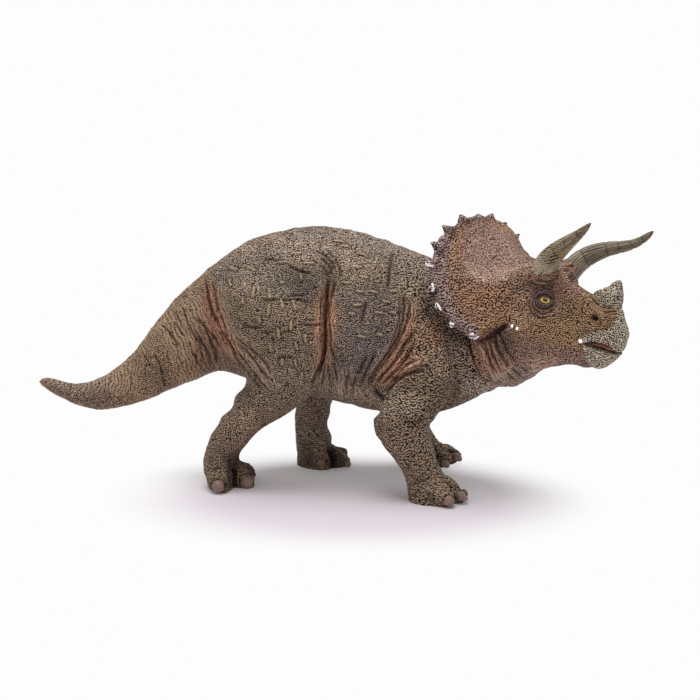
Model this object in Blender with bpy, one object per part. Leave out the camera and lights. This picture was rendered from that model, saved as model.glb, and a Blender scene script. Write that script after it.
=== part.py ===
"""A toy figure of a three-horned dinosaur, in metres.

+X points to the snout, +Y to the animal's left and +Z up, with the soles at z = 0.
Soft masses are lofted, fused into one skin by a voxel remesh and cut along the creases of
the hide into the pieces that a moulded figure is glued from. Tables hold shares: of
TRUNK_LENGTH, TRUNK_WIDTH and FIGURE_HEIGHT for places on the body, and of the head's own
sizes for places on the head.
"""

import math

import bmesh
import bpy
from mathutils import Matrix, Vector

# Overall sizes
TRUNK_LENGTH = 0.100
TRUNK_WIDTH = 0.060
FIGURE_HEIGHT = 0.100
TAIL_LENGTH = 0.0665

# Limbs: a leg's radii are shares of these
HIND_LEG_RADIUS = 0.010
FORE_LEG_RADIUS = 0.010
FOOT_REACH = 0.010
TOE_RADIUS = 0.0037
NAIL_RADIUS = 0.0026
SOLE_CUT_HEIGHT = 0.0015

# Head: lengths from the head's own origin, at the back of the skull
HEAD_LENGTH = 0.050
HEAD_DEPTH = 0.040
HEAD_WIDTH = 0.040
HEAD_TURN = math.radians(-27)
CHEEK_RADIUS = 0.0042
BROW_RADIUS = 0.0058
NECK_LOFT_START = 0.030

# Frill and the spikes round its rim
FRILL_RISE_RADIUS = 0.0263
FRILL_SIDE_RADIUS = 0.0314
FRILL_HUB_RADIUS = 0.010
FRILL_TILT = math.radians(48.7)
FRILL_ROLL = math.radians(8)
FRILL_HALF_SWEEP = math.radians(117)
FRILL_SWEEP_BACK = 0.0085
FRILL_DROP = 0.0044
FRILL_CLEARANCE = 0.0012
FRILL_DISH = 0.0026
FRILL_RIM_THICKNESS = 0.0028
FRILL_HUB_THICKNESS = 0.0065
SPIKE_COUNT = 15
SPIKE_SIDES = 8
SPIKE_LENGTH = 0.0028
SPIKE_RADIUS = 0.0029
SPIKE_TIP_RADIUS = 0.0003
SPIKE_ROOT = 0.0013

# Horns
BROW_HORN_LENGTH = 0.033
BROW_HORN_RADIUS = 0.0051
BROW_HORN_TIP_RADIUS = 0.0009
NOSE_HORN_HEIGHT = 0.0072
NOSE_HORN_LENGTH = 0.0118
NOSE_HORN_WIDTH = 0.0066
HORN_SIDES = 16
NOSE_HORN_TIP_RADIUS = 0.0007
HORN_SEAT_DEPTH = 0.0026

# Joints between the glued pieces
PIECE_GAP = 0.0003
SHELL_WALL = 0.0040
HIP_POCKET_FLOOR = 0.0150
SHOULDER_POCKET_FLOOR = 0.0145
LEG_PLUG_LENGTH = 0.0056
LEG_PLUG_WIDTH = 0.0090
LEG_PLUG_HEIGHT = 0.0060
TAIL_PLUG_LENGTH = 0.0060
TAIL_PLUG_WIDTH = 0.0100
TAIL_PLUG_HEIGHT = 0.0080
NECK_PLUG_LENGTH = 0.0060
NECK_PLUG_WIDTH = 0.0140
NECK_PLUG_HEIGHT = 0.0100
JAW_PLUG_LENGTH = 0.0060
JAW_PLUG_WIDTH = 0.0060
JAW_PLUG_HEIGHT = 0.0036
PLUG_ROOT = 0.0020
PIN_RADIUS = 0.0016
PIN_LENGTH = 0.0040
MOUTH_OPENING = 0.0012

# Meshing
SKIN_VOXEL = 0.0013
SKIN_SMOOTHING_STEPS = 7
HEAD_SMOOTHING_STEPS = 3
SMOOTHING_SHARE = 0.5
BODY_KEPT_SHARE = 0.075
HEAD_KEPT_SHARE = 0.16
RING_POINTS = 32
SPAN_STEPS = 4
OUTLINE_STEPS = 6
CUTTER_REACH = 0.200
WELD_DISTANCE = 0.000001

# Cross-section of trunk and head: widest at the waist, arched above it and fuller below
WAIST_SHARE = 0.42
ARCH_POWER_SHARE = 1.12
BELLY_POWER_SHARE = 0.88

# Along the trunk: x of TRUNK_LENGTH, top and bottom of FIGURE_HEIGHT, half width and
# sideways place of TRUNK_WIDTH
TRUNK_SHARES = (
    (-0.467, 0.803, 0.400, 0.290, 0.0),
    (-0.360, 0.874, 0.375, 0.360, 0.0),
    (-0.250, 0.908, 0.338, 0.412, 0.0),
    (-0.120, 0.928, 0.313, 0.455, 0.0),
    (0.000, 0.916, 0.297, 0.482, 0.0),
    (0.100, 0.888, 0.268, 0.480, 0.0),
    (0.200, 0.853, 0.258, 0.450, 0.0),
    (0.300, 0.815, 0.264, 0.408, 0.0),
    (0.400, 0.775, 0.295, 0.350, 0.0),
    (0.500, 0.730, 0.350, 0.295, -0.015),
    (0.600, 0.690, 0.405, 0.250, -0.070),
)

# Along the tail: distance behind its root of TAIL_LENGTH, then as above
TAIL_ROOT_SHARE = -0.50
TAIL_SHARES = (
    (1.000, 0.331, 0.318, 0.010, 0.085),
    (0.952, 0.346, 0.301, 0.033, 0.082),
    (0.889, 0.341, 0.280, 0.055, 0.075),
    (0.778, 0.325, 0.250, 0.080, 0.063),
    (0.659, 0.345, 0.233, 0.104, 0.050),
    (0.540, 0.392, 0.242, 0.130, 0.040),
    (0.419, 0.468, 0.265, 0.155, 0.030),
    (0.302, 0.575, 0.298, 0.183, 0.020),
    (0.181, 0.669, 0.336, 0.213, 0.012),
    (0.063, 0.740, 0.368, 0.250, 0.005),
)

# Down each leg: x, y and z of the body's sizes, then the radii along X and Y of the leg's own
HIND_RIGHT_SHARES = (
    (-0.270, -0.150, 0.820, 0.70, 0.60),
    (-0.265, -0.217, 0.740, 1.55, 1.10),
    (-0.258, -0.262, 0.640, 1.85, 1.34),
    (-0.252, -0.290, 0.540, 1.86, 1.34),
    (-0.220, -0.308, 0.445, 1.44, 1.25),
    (-0.214, -0.317, 0.390, 1.34, 1.15),
    (-0.262, -0.325, 0.345, 1.32, 1.05),
    (-0.298, -0.333, 0.305, 1.18, 0.96),
    (-0.345, -0.333, 0.265, 1.03, 0.86),
    (-0.392, -0.333, 0.220, 0.86, 0.78),
    (-0.420, -0.330, 0.172, 0.75, 0.72),
    (-0.431, -0.327, 0.124, 0.72, 0.70),
    (-0.430, -0.327, 0.080, 0.75, 0.75),
    (-0.414, -0.327, 0.040, 0.78, 0.80),
    (-0.405, -0.327, -0.015, 0.74, 0.78),
)
HIND_LEFT_SHARES = (
    (-0.270, 0.150, 0.820, 0.70, 0.60),
    (-0.260, 0.217, 0.740, 1.55, 1.10),
    (-0.250, 0.262, 0.640, 1.85, 1.34),
    (-0.235, 0.290, 0.540, 1.78, 1.34),
    (-0.205, 0.300, 0.450, 1.50, 1.25),
    (-0.180, 0.292, 0.390, 1.25, 1.15),
    (-0.158, 0.283, 0.340, 1.00, 1.05),
    (-0.146, 0.275, 0.300, 0.84, 0.93),
    (-0.145, 0.267, 0.260, 0.71, 0.82),
    (-0.152, 0.263, 0.200, 0.68, 0.74),
    (-0.154, 0.260, 0.160, 0.68, 0.70),
    (-0.148, 0.258, 0.110, 0.71, 0.71),
    (-0.140, 0.258, 0.070, 0.75, 0.75),
    (-0.135, 0.258, 0.035, 0.78, 0.80),
    (-0.133, 0.258, -0.015, 0.80, 0.82),
)
FORE_RIGHT_SHARES = (
    (0.230, -0.200, 0.700, 0.60, 0.50),
    (0.243, -0.250, 0.630, 1.00, 0.84),
    (0.255, -0.292, 0.550, 1.25, 1.00),
    (0.255, -0.342, 0.460, 1.38, 1.13),
    (0.240, -0.383, 0.380, 1.33, 1.08),
    (0.223, -0.417, 0.320, 1.16, 1.00),
    (0.208, -0.437, 0.275, 0.99, 0.92),
    (0.222, -0.450, 0.225, 0.90, 0.84),
    (0.241, -0.458, 0.188, 0.84, 0.79),
    (0.261, -0.467, 0.153, 0.76, 0.73),
    (0.281, -0.470, 0.117, 0.71, 0.71),
    (0.300, -0.475, 0.082, 0.74, 0.75),
    (0.315, -0.475, 0.040, 0.82, 0.82),
    (0.320, -0.475, -0.015, 0.84, 0.84),
)
FORE_LEFT_SHARES = (
    (0.230, 0.200, 0.700, 0.60, 0.50),
    (0.243, 0.250, 0.630, 1.00, 0.84),
    (0.255, 0.283, 0.550, 1.25, 1.00),
    (0.255, 0.325, 0.460, 1.38, 1.13),
    (0.233, 0.350, 0.380, 1.30, 1.08),
    (0.210, 0.363, 0.320, 1.10, 1.00),
    (0.193, 0.370, 0.275, 0.95, 0.92),
    (0.188, 0.375, 0.220, 0.84, 0.84),
    (0.195, 0.375, 0.170, 0.74, 0.76),
    (0.215, 0.375, 0.125, 0.70, 0.72),
    (0.243, 0.375, 0.080, 0.74, 0.74),
    (0.263, 0.375, 0.040, 0.80, 0.80),
    (0.268, 0.375, -0.015, 0.82, 0.82),
)

# Nails as seen from above, of FOOT_REACH from the middle of the sole
HIND_RIGHT_NAIL_SHARES = ((-0.19, -0.73), (0.60, -0.10), (0.62, 0.58), (0.00, 0.84))
HIND_LEFT_NAIL_SHARES = ((0.20, -0.78), (0.96, -0.36), (0.86, 0.40), (0.10, 0.84))
FORE_RIGHT_NAIL_SHARES = ((0.50, -0.86), (1.02, -0.26), (0.80, 0.50))
FORE_LEFT_NAIL_SHARES = ((0.66, -0.76), (1.02, -0.06), (0.78, 0.62))
TOE_ROOT_SHARE = 0.35
TOE_STRETCH_SHARE = 0.62
TOE_HEIGHT_SHARE = 1.15
NAIL_HEIGHT_SHARE = 1.40

# Creases that the leg pieces are cut along, seen from the side
HIP_POCKET_SHARES = (
    (-0.38, 0.29), (-0.42, 0.41), (-0.475, 0.55), (-0.48, 0.68), (-0.40, 0.77), (-0.27, 0.805),
    (-0.13, 0.79), (-0.068, 0.70), (-0.064, 0.54), (-0.078, 0.37), (-0.20, 0.28),
)
SHOULDER_POCKET_SHARES = (
    (0.085, 0.24), (0.088, 0.36), (0.14, 0.50), (0.22, 0.61), (0.31, 0.63), (0.385, 0.56),
    (0.44, 0.46), (0.47, 0.35), (0.44, 0.24), (0.26, 0.20),
)
HIND_LOWER_SHARES = (
    (-0.56, -0.05), (-0.56, 0.26), (-0.43, 0.375), (-0.37, 0.345), (-0.25, 0.305), (-0.04, 0.28),
    (0.05, 0.24), (0.05, -0.05),
)
FORE_LOWER_SHARES = (
    (0.05, -0.05), (0.05, 0.22), (0.09, 0.25), (0.36, 0.245), (0.56, 0.22), (0.56, -0.05),
)
MIDLINE_CLEARANCE = 0.0015

# Where plugs and pins sit on the body: x and z
HIP_PLUG_SHARES = (-0.27, 0.58)
SHOULDER_PLUG_SHARES = (0.27, 0.43)
PIN_SHARES = ((-0.385, 0.74), (-0.375, 0.47), (0.405, 0.385))

# Seam planes of tail and neck: a point on each, and how far it leans from upright
TAIL_SEAM_SHARES = (-0.465, 0.573)
TAIL_SEAM_LEAN = math.radians(26.2)
TAIL_SEAM_RISE = 0.0350
TAIL_SEAM_FALL = 0.0186
TAIL_UNDERSIDE_SHARES = ((-0.41, 0.375), (-0.47, 0.33), (-0.56, 0.27), (-0.70, 0.20))
NECK_SEAM_SHARES = (0.485, 0.475)
NECK_SEAM_LEAN = math.radians(27.9)
CAVITY_REAR_SHARE = -0.33
CAVITY_FRONT_SHARE = 0.34

# Along the head: place ahead of the head's origin of HEAD_LENGTH, top and bottom of
# HEAD_DEPTH, half width of HEAD_WIDTH
HEAD_ORIGIN_SHARES = (0.52, -0.05, 0.70)
HEAD_SHARES = (
    (-0.260, 0.130, -0.780, 0.340),
    (-0.100, 0.200, -0.905, 0.445),
    (0.060, 0.250, -0.860, 0.485),
    (0.160, 0.290, -0.815, 0.482),
    (0.260, 0.325, -0.735, 0.455),
    (0.370, 0.345, -0.625, 0.410),
    (0.490, 0.325, -0.575, 0.360),
    (0.570, 0.285, -0.550, 0.312),
    (0.645, 0.200, -0.530, 0.262),
    (0.700, 0.095, -0.545, 0.225),
    (0.760, 0.058, -0.560, 0.200),
    (0.820, 0.062, -0.550, 0.176),
    (0.892, 0.075, -0.508, 0.146),
    (0.955, 0.058, -0.445, 0.108),
    (0.985, -0.015, -0.412, 0.080),
    (1.005, -0.125, -0.370, 0.050),
    (1.015, -0.200, -0.320, 0.024),
)
CHEEK_SHARES = (0.38, 0.375, -0.19)
BROW_SHARES = (0.49, 0.205, 0.21)

# Frill: its middle and the middle of its hub, ahead of the origin and above it
FRILL_CENTRE_SHARES = (0.119, 0.170)
FRILL_HUB_SHARES = (0.340, 0.130)
FRILL_SPANS = 28
FRILL_RINGS = 8

# Lower jaw: the mouth line from the beak's tip back to its corner, then down behind the beak
JAW_SHARES = (
    (1.06, -0.440), (0.962, -0.408), (0.900, -0.372), (0.820, -0.335), (0.735, -0.300),
    (0.690, -0.380), (0.665, -0.520), (0.665, -0.700), (1.06, -0.700),
)
MOUTH_LINE = (2, 3)
JAW_PLUG_SHARES = (0.70, -0.44)

# Brow horns: root, two bends and tip, ahead, to the side and above, of BROW_HORN_LENGTH
# from the head's origin; the two horns of the figure aren't quite alike
BROW_HORN_RIGHT_SHARES = (
    (0.735, -0.235, 0.310), (0.795, -0.290, 0.460), (0.925, -0.370, 0.630),
    (1.165, -0.515, 0.780), (1.430, -0.667, 0.950),
)
BROW_HORN_LEFT_SHARES = (
    (0.735, 0.235, 0.260), (0.835, 0.300, 0.380), (1.015, 0.400, 0.462),
    (1.270, 0.530, 0.545), (1.530, 0.667, 0.705),
)
BROW_HORN_TAPER_SHARES = (1.0, 0.94, 0.76, 0.48)
NOSE_HORN_SHARES = (0.856, 0.050)
NOSE_HORN_RAKE_SHARE = 0.86
NOSE_HORN_TAPER_SHARES = ((0.0, 1.0), (0.25, 0.68), (0.55, 0.40), (0.80, 0.22))

# Colours, linear
SKIN_COLOUR = (0.19, 0.135, 0.085, 1.0)
HEAD_COLOUR = (0.28, 0.15, 0.085, 1.0)
HORN_COLOUR = (0.26, 0.23, 0.15, 1.0)
SKIN_ROUGHNESS = 0.6
HORN_ROUGHNESS = 0.45


def body_point(x_share, y_share, z_share):
    return Vector((x_share * TRUNK_LENGTH, y_share * TRUNK_WIDTH, z_share * FIGURE_HEIGHT))


def tail_point(back_share, y_share, z_share):
    point = body_point(TAIL_ROOT_SHARE, y_share, z_share)
    point.x -= back_share * TAIL_LENGTH
    return point


HEAD_PLACE = (
    Matrix.Translation(body_point(*HEAD_ORIGIN_SHARES))
    @ Matrix.Rotation(HEAD_TURN, 4, "Z")
)
FRILL_PLACE = HEAD_PLACE @ Matrix.Rotation(FRILL_ROLL, 4, "X")


def smooth_rows(rows, steps, closed=False):
    """Rows read off one smooth curve through the given rows."""
    count = len(rows)
    found = []
    for index in range(count if closed else count - 1):
        if closed:
            before, start, end, after = (rows[(index + k) % count] for k in (-1, 0, 1, 2))
        else:
            start, end = rows[index], rows[index + 1]
            before = rows[max(index - 1, 0)]
            after = rows[min(index + 2, count - 1)]
        for step in range(steps):
            t = step / steps
            found.append(tuple(
                0.5 * (2 * b + (c - a) * t + (2 * a - 5 * b + 4 * c - d) * t**2
                       + (3 * b - a - 3 * c + d) * t**3)
                for a, b, c, d in zip(before, start, end, after)
            ))
    if not closed:
        found.append(tuple(rows[-1]))
    return found


def arch_ring(half_width, bottom, top):
    """One cross-section as (side, height) pairs, counterclockwise."""
    waist = bottom + WAIST_SHARE * (top - bottom)
    ring = []
    for step in range(RING_POINTS):
        turn = math.tau * step / RING_POINTS
        side, rise = math.cos(turn), math.sin(turn)
        power = ARCH_POWER_SHARE if rise > 0 else BELLY_POWER_SHARE
        reach = top - waist if rise > 0 else waist - bottom
        ring.append((half_width * math.copysign(abs(side) ** power, side), waist + reach * rise))
    return ring


def add_loft(mesh, rings):
    """Adds a closed tube through rings of points to a bmesh."""
    rows = [[mesh.verts.new(point) for point in ring] for ring in rings]
    count = len(rows[0])
    for row, following in zip(rows, rows[1:]):
        for k in range(count):
            mesh.faces.new((row[k], row[(k + 1) % count], following[(k + 1) % count], following[k]))
    mesh.faces.new(list(reversed(rows[0])))
    mesh.faces.new(rows[-1])


def add_ball(mesh, centre, radii, turn=None):
    """Adds an ellipsoid to a bmesh, turned by a rotation matrix."""
    place = Matrix.Translation(centre)
    if turn:
        place = place @ turn
    place = place @ Matrix.Diagonal((*radii, 1.0))
    bmesh.ops.create_icosphere(mesh, subdivisions=3, radius=1.0, matrix=place)


def make_object(name, mesh):
    """Turns a bmesh into an object with its faces outward."""
    bmesh.ops.recalc_face_normals(mesh, faces=mesh.faces)
    data = bpy.data.meshes.new(name)
    mesh.to_mesh(data)
    mesh.free()
    piece = bpy.data.objects.new(name, data)
    bpy.context.scene.collection.objects.link(piece)
    return piece


def modify(piece, kind, **settings):
    """Adds a modifier and keeps its result as the piece's own mesh."""
    modifier = piece.modifiers.new(kind.title(), kind)
    for setting, value in settings.items():
        setattr(modifier, setting, value)
    graph = bpy.context.evaluated_depsgraph_get()
    data = bpy.data.meshes.new_from_object(piece.evaluated_get(graph))
    piece.modifiers.clear()
    piece.data = data


def cut(piece, operation, *tools):
    """Applies a Boolean with each tool in turn and removes the tools."""
    for tool in tools:
        modify(piece, "BOOLEAN", operation=operation, object=tool, solver="EXACT")
        bpy.data.objects.remove(tool)


def copy_of(piece, name):
    twin = bpy.data.objects.new(name, piece.data.copy())
    bpy.context.scene.collection.objects.link(twin)
    return twin


def keep_largest(piece):
    """Drops crumbs that a cut left beside the main body, and leaves it in clean triangles."""
    mesh = bmesh.new()
    mesh.from_mesh(piece.data)
    left = set(mesh.verts)
    groups = []
    while left:
        group, frontier = set(), [left.pop()]
        while frontier:
            vert = frontier.pop()
            group.add(vert)
            near = {edge.other_vert(vert) for edge in vert.link_edges} & left
            left -= near
            frontier.extend(near)
        groups.append(group)
    groups.sort(key=len)
    spare = [vert for group in groups[:-1] for vert in group]
    bmesh.ops.delete(mesh, geom=spare, context="VERTS")
    bmesh.ops.remove_doubles(mesh, verts=mesh.verts, dist=WELD_DISTANCE)
    bmesh.ops.triangulate(mesh, faces=mesh.faces)
    mesh.to_mesh(piece.data)
    mesh.free()


def block(name, low, high, place=None):
    """A box between two corners, in the frame of a placing matrix."""
    mesh = bmesh.new()
    size = Vector(high) - Vector(low)
    middle = (Vector(high) + Vector(low)) / 2
    local = Matrix.Translation(middle) @ Matrix.Diagonal((*size, 1.0))
    bmesh.ops.create_cube(mesh, size=1.0, matrix=(place or Matrix()) @ local)
    return make_object(name, mesh)


def grow(outline, margin):
    """Moves a counterclockwise or clockwise closed outline outward by a margin."""
    points = [Vector(point) for point in outline]
    count = len(points)
    pairs = zip(points, points[1:] + points[:1])
    area = sum(a.x * b.y - b.x * a.y for a, b in pairs)
    grown = []
    for index, point in enumerate(points):
        along = points[(index + 1) % count] - points[index - 1]
        outward = Vector((along.y, -along.x)).normalized() * math.copysign(margin, area)
        grown.append(point + outward)
    return grown


def prism(name, outline, low, high, place):
    """An outline of (ahead, height) pairs drawn out sideways from low to high."""
    mesh = bmesh.new()
    rings = [[place @ Vector((x, side, z)) for x, z in outline] for side in (low, high)]
    add_loft(mesh, rings)
    return make_object(name, mesh)


def body_outline(shares, rounded, margin):
    points = [(x * TRUNK_LENGTH, z * FIGURE_HEIGHT) for x, z in shares]
    if rounded:
        points = smooth_rows(points, OUTLINE_STEPS, closed=True)
    return grow(points, margin)


def leg_zone(name, side, floor, pocket_shares, lower_shares, margin):
    """The space of one leg piece: its pocket in the flank and everything below the belly."""
    inner, outer = side * (floor - margin), side * CUTTER_REACH
    zone = prism(name, body_outline(pocket_shares, True, margin), inner, outer, Matrix())
    inner = side * (MIDLINE_CLEARANCE - margin)
    outer = side * (CUTTER_REACH + PLUG_ROOT)
    lower = prism("lower", body_outline(lower_shares, False, margin), inner, outer, Matrix())
    cut(zone, "UNION", lower)
    return zone


def seam_place(shares, lean):
    """A frame on a seam plane, with its X axis square to the plane and pointing ahead and up."""
    point = body_point(shares[0], 0.0, shares[1])
    return Matrix.Translation(point) @ Matrix.Rotation(-lean, 4, "Y")


TAIL_SEAM = seam_place(TAIL_SEAM_SHARES, TAIL_SEAM_LEAN)
NECK_SEAM = seam_place(NECK_SEAM_SHARES, NECK_SEAM_LEAN)


def tail_zone(name, margin):
    """The space of the tail piece: behind its seam and above the hind legs."""
    down = TAIL_SEAM @ Vector((0, 0, -TAIL_SEAM_FALL))
    up = TAIL_SEAM @ Vector((0, 0, TAIL_SEAM_RISE))
    outline = [(up.x, up.z), (down.x, down.z)]
    outline += [(x * TRUNK_LENGTH, z * FIGURE_HEIGHT) for x, z in TAIL_UNDERSIDE_SHARES]
    outline += [(-CUTTER_REACH, -CUTTER_REACH), (-CUTTER_REACH, up.z)]
    return prism(name, grow(outline, margin), -CUTTER_REACH, CUTTER_REACH, Matrix())


def half_space(name, place, ahead, margin=0.0):
    """Everything ahead of a seam plane, or behind it, from a margin off the plane."""
    low, high = (margin, CUTTER_REACH) if ahead else (-CUTTER_REACH, -margin)
    side = Vector((0.0, CUTTER_REACH, CUTTER_REACH))
    return block(name, Vector((low, 0, 0)) - side, Vector((high, 0, 0)) + side, place)


def plug(name, place, length, width, height, root, margin=0.0):
    """A keyed block that runs from its root inside one piece back into the next, along -X."""
    half = Vector((0.0, width / 2 + margin, height / 2 + margin))
    low = Vector((-length - margin, 0, 0)) - half
    return block(name, low, Vector((root, 0, 0)) + half, place)


def trunk_rings(inset=0.0, rear=None, front=None):
    """Cross-sections from tail tip to throat, or of the cavity between two stations."""
    rows = [(tail_point(s, y, 0.0).x, top, bottom, half, y) for s, top, bottom, half, y in TAIL_SHARES]
    rows += [(s * TRUNK_LENGTH, top, bottom, half, y) for s, top, bottom, half, y in TRUNK_SHARES]
    rings = []
    for x, top, bottom, half, y in smooth_rows(rows, SPAN_STEPS):
        if rear is not None and not rear <= x <= front:
            continue
        ring = arch_ring(
            half * TRUNK_WIDTH - inset, bottom * FIGURE_HEIGHT + inset, top * FIGURE_HEIGHT - inset
        )
        rings.append([Vector((x, y * TRUNK_WIDTH + side, height)) for side, height in ring])
    return rings


def add_leg(mesh, shares, radius, nail_shares):
    rows = smooth_rows(shares, SPAN_STEPS)
    rings = []
    for x, y, z, ahead, aside in rows:
        centre = body_point(x, y, z)
        turns = [math.tau * step / RING_POINTS for step in range(RING_POINTS)]
        rings.append([
            centre + Vector((ahead * radius * math.cos(t), aside * radius * math.sin(t), 0))
            for t in turns
        ])
    add_loft(mesh, rings)
    sole = body_point(rows[-1][0], rows[-1][1], 0.0)
    for ahead, aside in nail_shares:
        reach = Vector((ahead, aside, 0)) * FOOT_REACH
        turn = Matrix.Rotation(math.atan2(reach.y, reach.x), 4, "Z")
        middle = sole + reach * (1 + TOE_ROOT_SHARE) / 2
        middle.z = TOE_HEIGHT_SHARE * TOE_RADIUS
        add_ball(mesh, middle, (TOE_STRETCH_SHARE * FOOT_REACH, TOE_RADIUS, TOE_RADIUS), turn)
        tip = sole + reach
        tip.z = NAIL_HEIGHT_SHARE * NAIL_RADIUS
        add_ball(mesh, tip, (NAIL_RADIUS, NAIL_RADIUS, NAIL_RADIUS), turn)


def head_point(ahead, aside, above):
    return HEAD_PLACE @ Vector((ahead, aside, above))


def head_share_point(ahead_share, aside_share, above_share):
    return head_point(
        ahead_share * HEAD_LENGTH, aside_share * HEAD_WIDTH, above_share * HEAD_DEPTH
    )


def skull_rings():
    rings = []
    for ahead, top, bottom, half in smooth_rows(HEAD_SHARES, SPAN_STEPS):
        ring = arch_ring(half * HEAD_WIDTH, bottom * HEAD_DEPTH, top * HEAD_DEPTH)
        rings.append([head_point(ahead * HEAD_LENGTH, side, height) for side, height in ring])
    return rings


FRILL_RISE = Vector((-math.cos(FRILL_TILT), 0, math.sin(FRILL_TILT)))
FRILL_BACK = Vector((-math.sin(FRILL_TILT), 0, -math.cos(FRILL_TILT)))


def frill_spot(turn, outward_share):
    """A point on the frill's middle surface, from its hub at 0 to its rim at 1."""
    centre = Vector((FRILL_CENTRE_SHARES[0] * HEAD_LENGTH, 0, FRILL_CENTRE_SHARES[1] * HEAD_DEPTH))
    hub = Vector((FRILL_HUB_SHARES[0] * HEAD_LENGTH, 0, FRILL_HUB_SHARES[1] * HEAD_DEPTH))
    rise, side = FRILL_RISE * math.cos(turn), Vector((0, math.sin(turn), 0))
    wrap = Vector((-FRILL_SWEEP_BACK, 0, -FRILL_DROP)) * math.sin(turn) ** 2
    rim = centre + rise * FRILL_RISE_RADIUS + side * FRILL_SIDE_RADIUS + wrap
    root = hub + (rise + side) * FRILL_HUB_RADIUS
    dish = FRILL_BACK * FRILL_DISH * math.sin(math.pi * outward_share)
    return root.lerp(rim, outward_share) + dish


def add_frill(mesh):
    rings = []
    for span in range(FRILL_SPANS + 1):
        turn = FRILL_HALF_SWEEP * (2 * span / FRILL_SPANS - 1)
        front, back = [], []
        for step in range(FRILL_RINGS + 1):
            share = step / FRILL_RINGS
            spot = frill_spot(turn, share)
            thickness = FRILL_HUB_THICKNESS + (FRILL_RIM_THICKNESS - FRILL_HUB_THICKNESS) * share
            front.append(FRILL_PLACE @ (spot - FRILL_BACK * thickness / 2))
            back.append(FRILL_PLACE @ (spot + FRILL_BACK * thickness / 2))
        rings.append(front + back[::-1])
    add_loft(mesh, rings)


def frill_spikes():
    """Small pointed studs round the rim, as one cutter-like object of separate cones."""
    mesh = bmesh.new()
    for index in range(SPIKE_COUNT):
        turn = FRILL_HALF_SWEEP * (2 * index / (SPIKE_COUNT - 1) - 1)
        rim = FRILL_PLACE @ frill_spot(turn, 1.0)
        inner = FRILL_PLACE @ frill_spot(turn, 1.0 - SPIKE_ROOT / FRILL_RISE_RADIUS)
        outward = (rim - inner).normalized()
        middle = rim + outward * (SPIKE_LENGTH - SPIKE_ROOT) / 2
        place = Matrix.Translation(middle) @ outward.to_track_quat("Z", "Y").to_matrix().to_4x4()
        bmesh.ops.create_cone(
            mesh, cap_ends=True, segments=SPIKE_SIDES, radius1=SPIKE_RADIUS,
            radius2=SPIKE_TIP_RADIUS,
            depth=SPIKE_LENGTH + SPIKE_ROOT, matrix=place,
        )
    return make_object("spikes", mesh)


def horn(name, path, radii, margin=0.0):
    """A tapering horn along a smooth path of points, round in section, as a bmesh object."""
    rows = smooth_rows([(*point, radius) for point, radius in zip(path, radii)], SPAN_STEPS)
    points = [Vector(row[:3]) for row in rows]
    rings = []
    for index, point in enumerate(points):
        along = points[min(index + 1, len(points) - 1)] - points[max(index - 1, 0)]
        turn = along.to_track_quat("Z", "Y").to_matrix()
        radius = rows[index][3] + margin
        rings.append([
            point + turn @ Vector((radius * math.cos(t), radius * math.sin(t), 0))
            for t in (math.tau * step / HORN_SIDES for step in range(HORN_SIDES))
        ])
    mesh = bmesh.new()
    add_loft(mesh, rings)
    return make_object(name, mesh)


def brow_horn(name, shares, margin=0.0):
    path = [head_point(*(Vector(share) * BROW_HORN_LENGTH)) for share in shares]
    inward = (path[0] - path[1]).normalized()
    path[0] += inward * (HORN_SEAT_DEPTH + margin)
    radii = [BROW_HORN_RADIUS * share for share in BROW_HORN_TAPER_SHARES]
    return horn(name, path, radii + [BROW_HORN_TIP_RADIUS], margin)


def nose_horn(name, margin=0.0):
    """A low pointed horn with an upright front and a hollowed back, leaning to its front."""
    base = Vector((NOSE_HORN_SHARES[0] * HEAD_LENGTH, 0, NOSE_HORN_SHARES[1] * HEAD_DEPTH))
    rows = [(level * NOSE_HORN_HEIGHT, width) for level, width in NOSE_HORN_TAPER_SHARES]
    rows.insert(0, (-HORN_SEAT_DEPTH - margin, 1.0))
    rows.append((NOSE_HORN_HEIGHT, 2 * NOSE_HORN_TIP_RADIUS / NOSE_HORN_WIDTH))
    rings = []
    for height, width in rows:
        rake = NOSE_HORN_RAKE_SHARE * (1 - width) * NOSE_HORN_LENGTH / 2
        centre = base + Vector((rake, 0, height))
        ahead = width * NOSE_HORN_LENGTH / 2 + margin
        aside = width * NOSE_HORN_WIDTH / 2 + margin
        turns = (math.tau * step / HORN_SIDES for step in range(HORN_SIDES))
        rings.append([
            HEAD_PLACE @ (centre + Vector((ahead * math.cos(t), aside * math.sin(t), 0)))
            for t in turns
        ])
    mesh = bmesh.new()
    add_loft(mesh, rings)
    return make_object(name, mesh)


LEGS = (
    ("hindleg_right", -1, HIND_RIGHT_SHARES, HIND_LEG_RADIUS, HIND_RIGHT_NAIL_SHARES),
    ("hindleg_left", 1, HIND_LEFT_SHARES, HIND_LEG_RADIUS, HIND_LEFT_NAIL_SHARES),
    ("foreleg_right", -1, FORE_RIGHT_SHARES, FORE_LEG_RADIUS, FORE_RIGHT_NAIL_SHARES),
    ("foreleg_left", 1, FORE_LEFT_SHARES, FORE_LEG_RADIUS, FORE_LEFT_NAIL_SHARES),
)


def pocket_of(name):
    """Floor depth, pocket outline, lower outline and plug place of a leg."""
    if name.startswith("hind"):
        return HIP_POCKET_FLOOR, HIP_POCKET_SHARES, HIND_LOWER_SHARES, HIP_PLUG_SHARES
    return (
        SHOULDER_POCKET_FLOOR, SHOULDER_POCKET_SHARES, FORE_LOWER_SHARES, SHOULDER_PLUG_SHARES
    )


def leg_plug(name, side, margin=0.0):
    floor, _, _, (x, z) = pocket_of(name)
    point = body_point(x, 0.0, z)
    point.y = side * floor
    place = Matrix.Translation(point) @ Matrix.Rotation(side * math.pi / 2, 4, "Z")
    return plug(
        "plug", place, LEG_PLUG_LENGTH, LEG_PLUG_WIDTH, LEG_PLUG_HEIGHT, PLUG_ROOT, margin
    )


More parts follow.
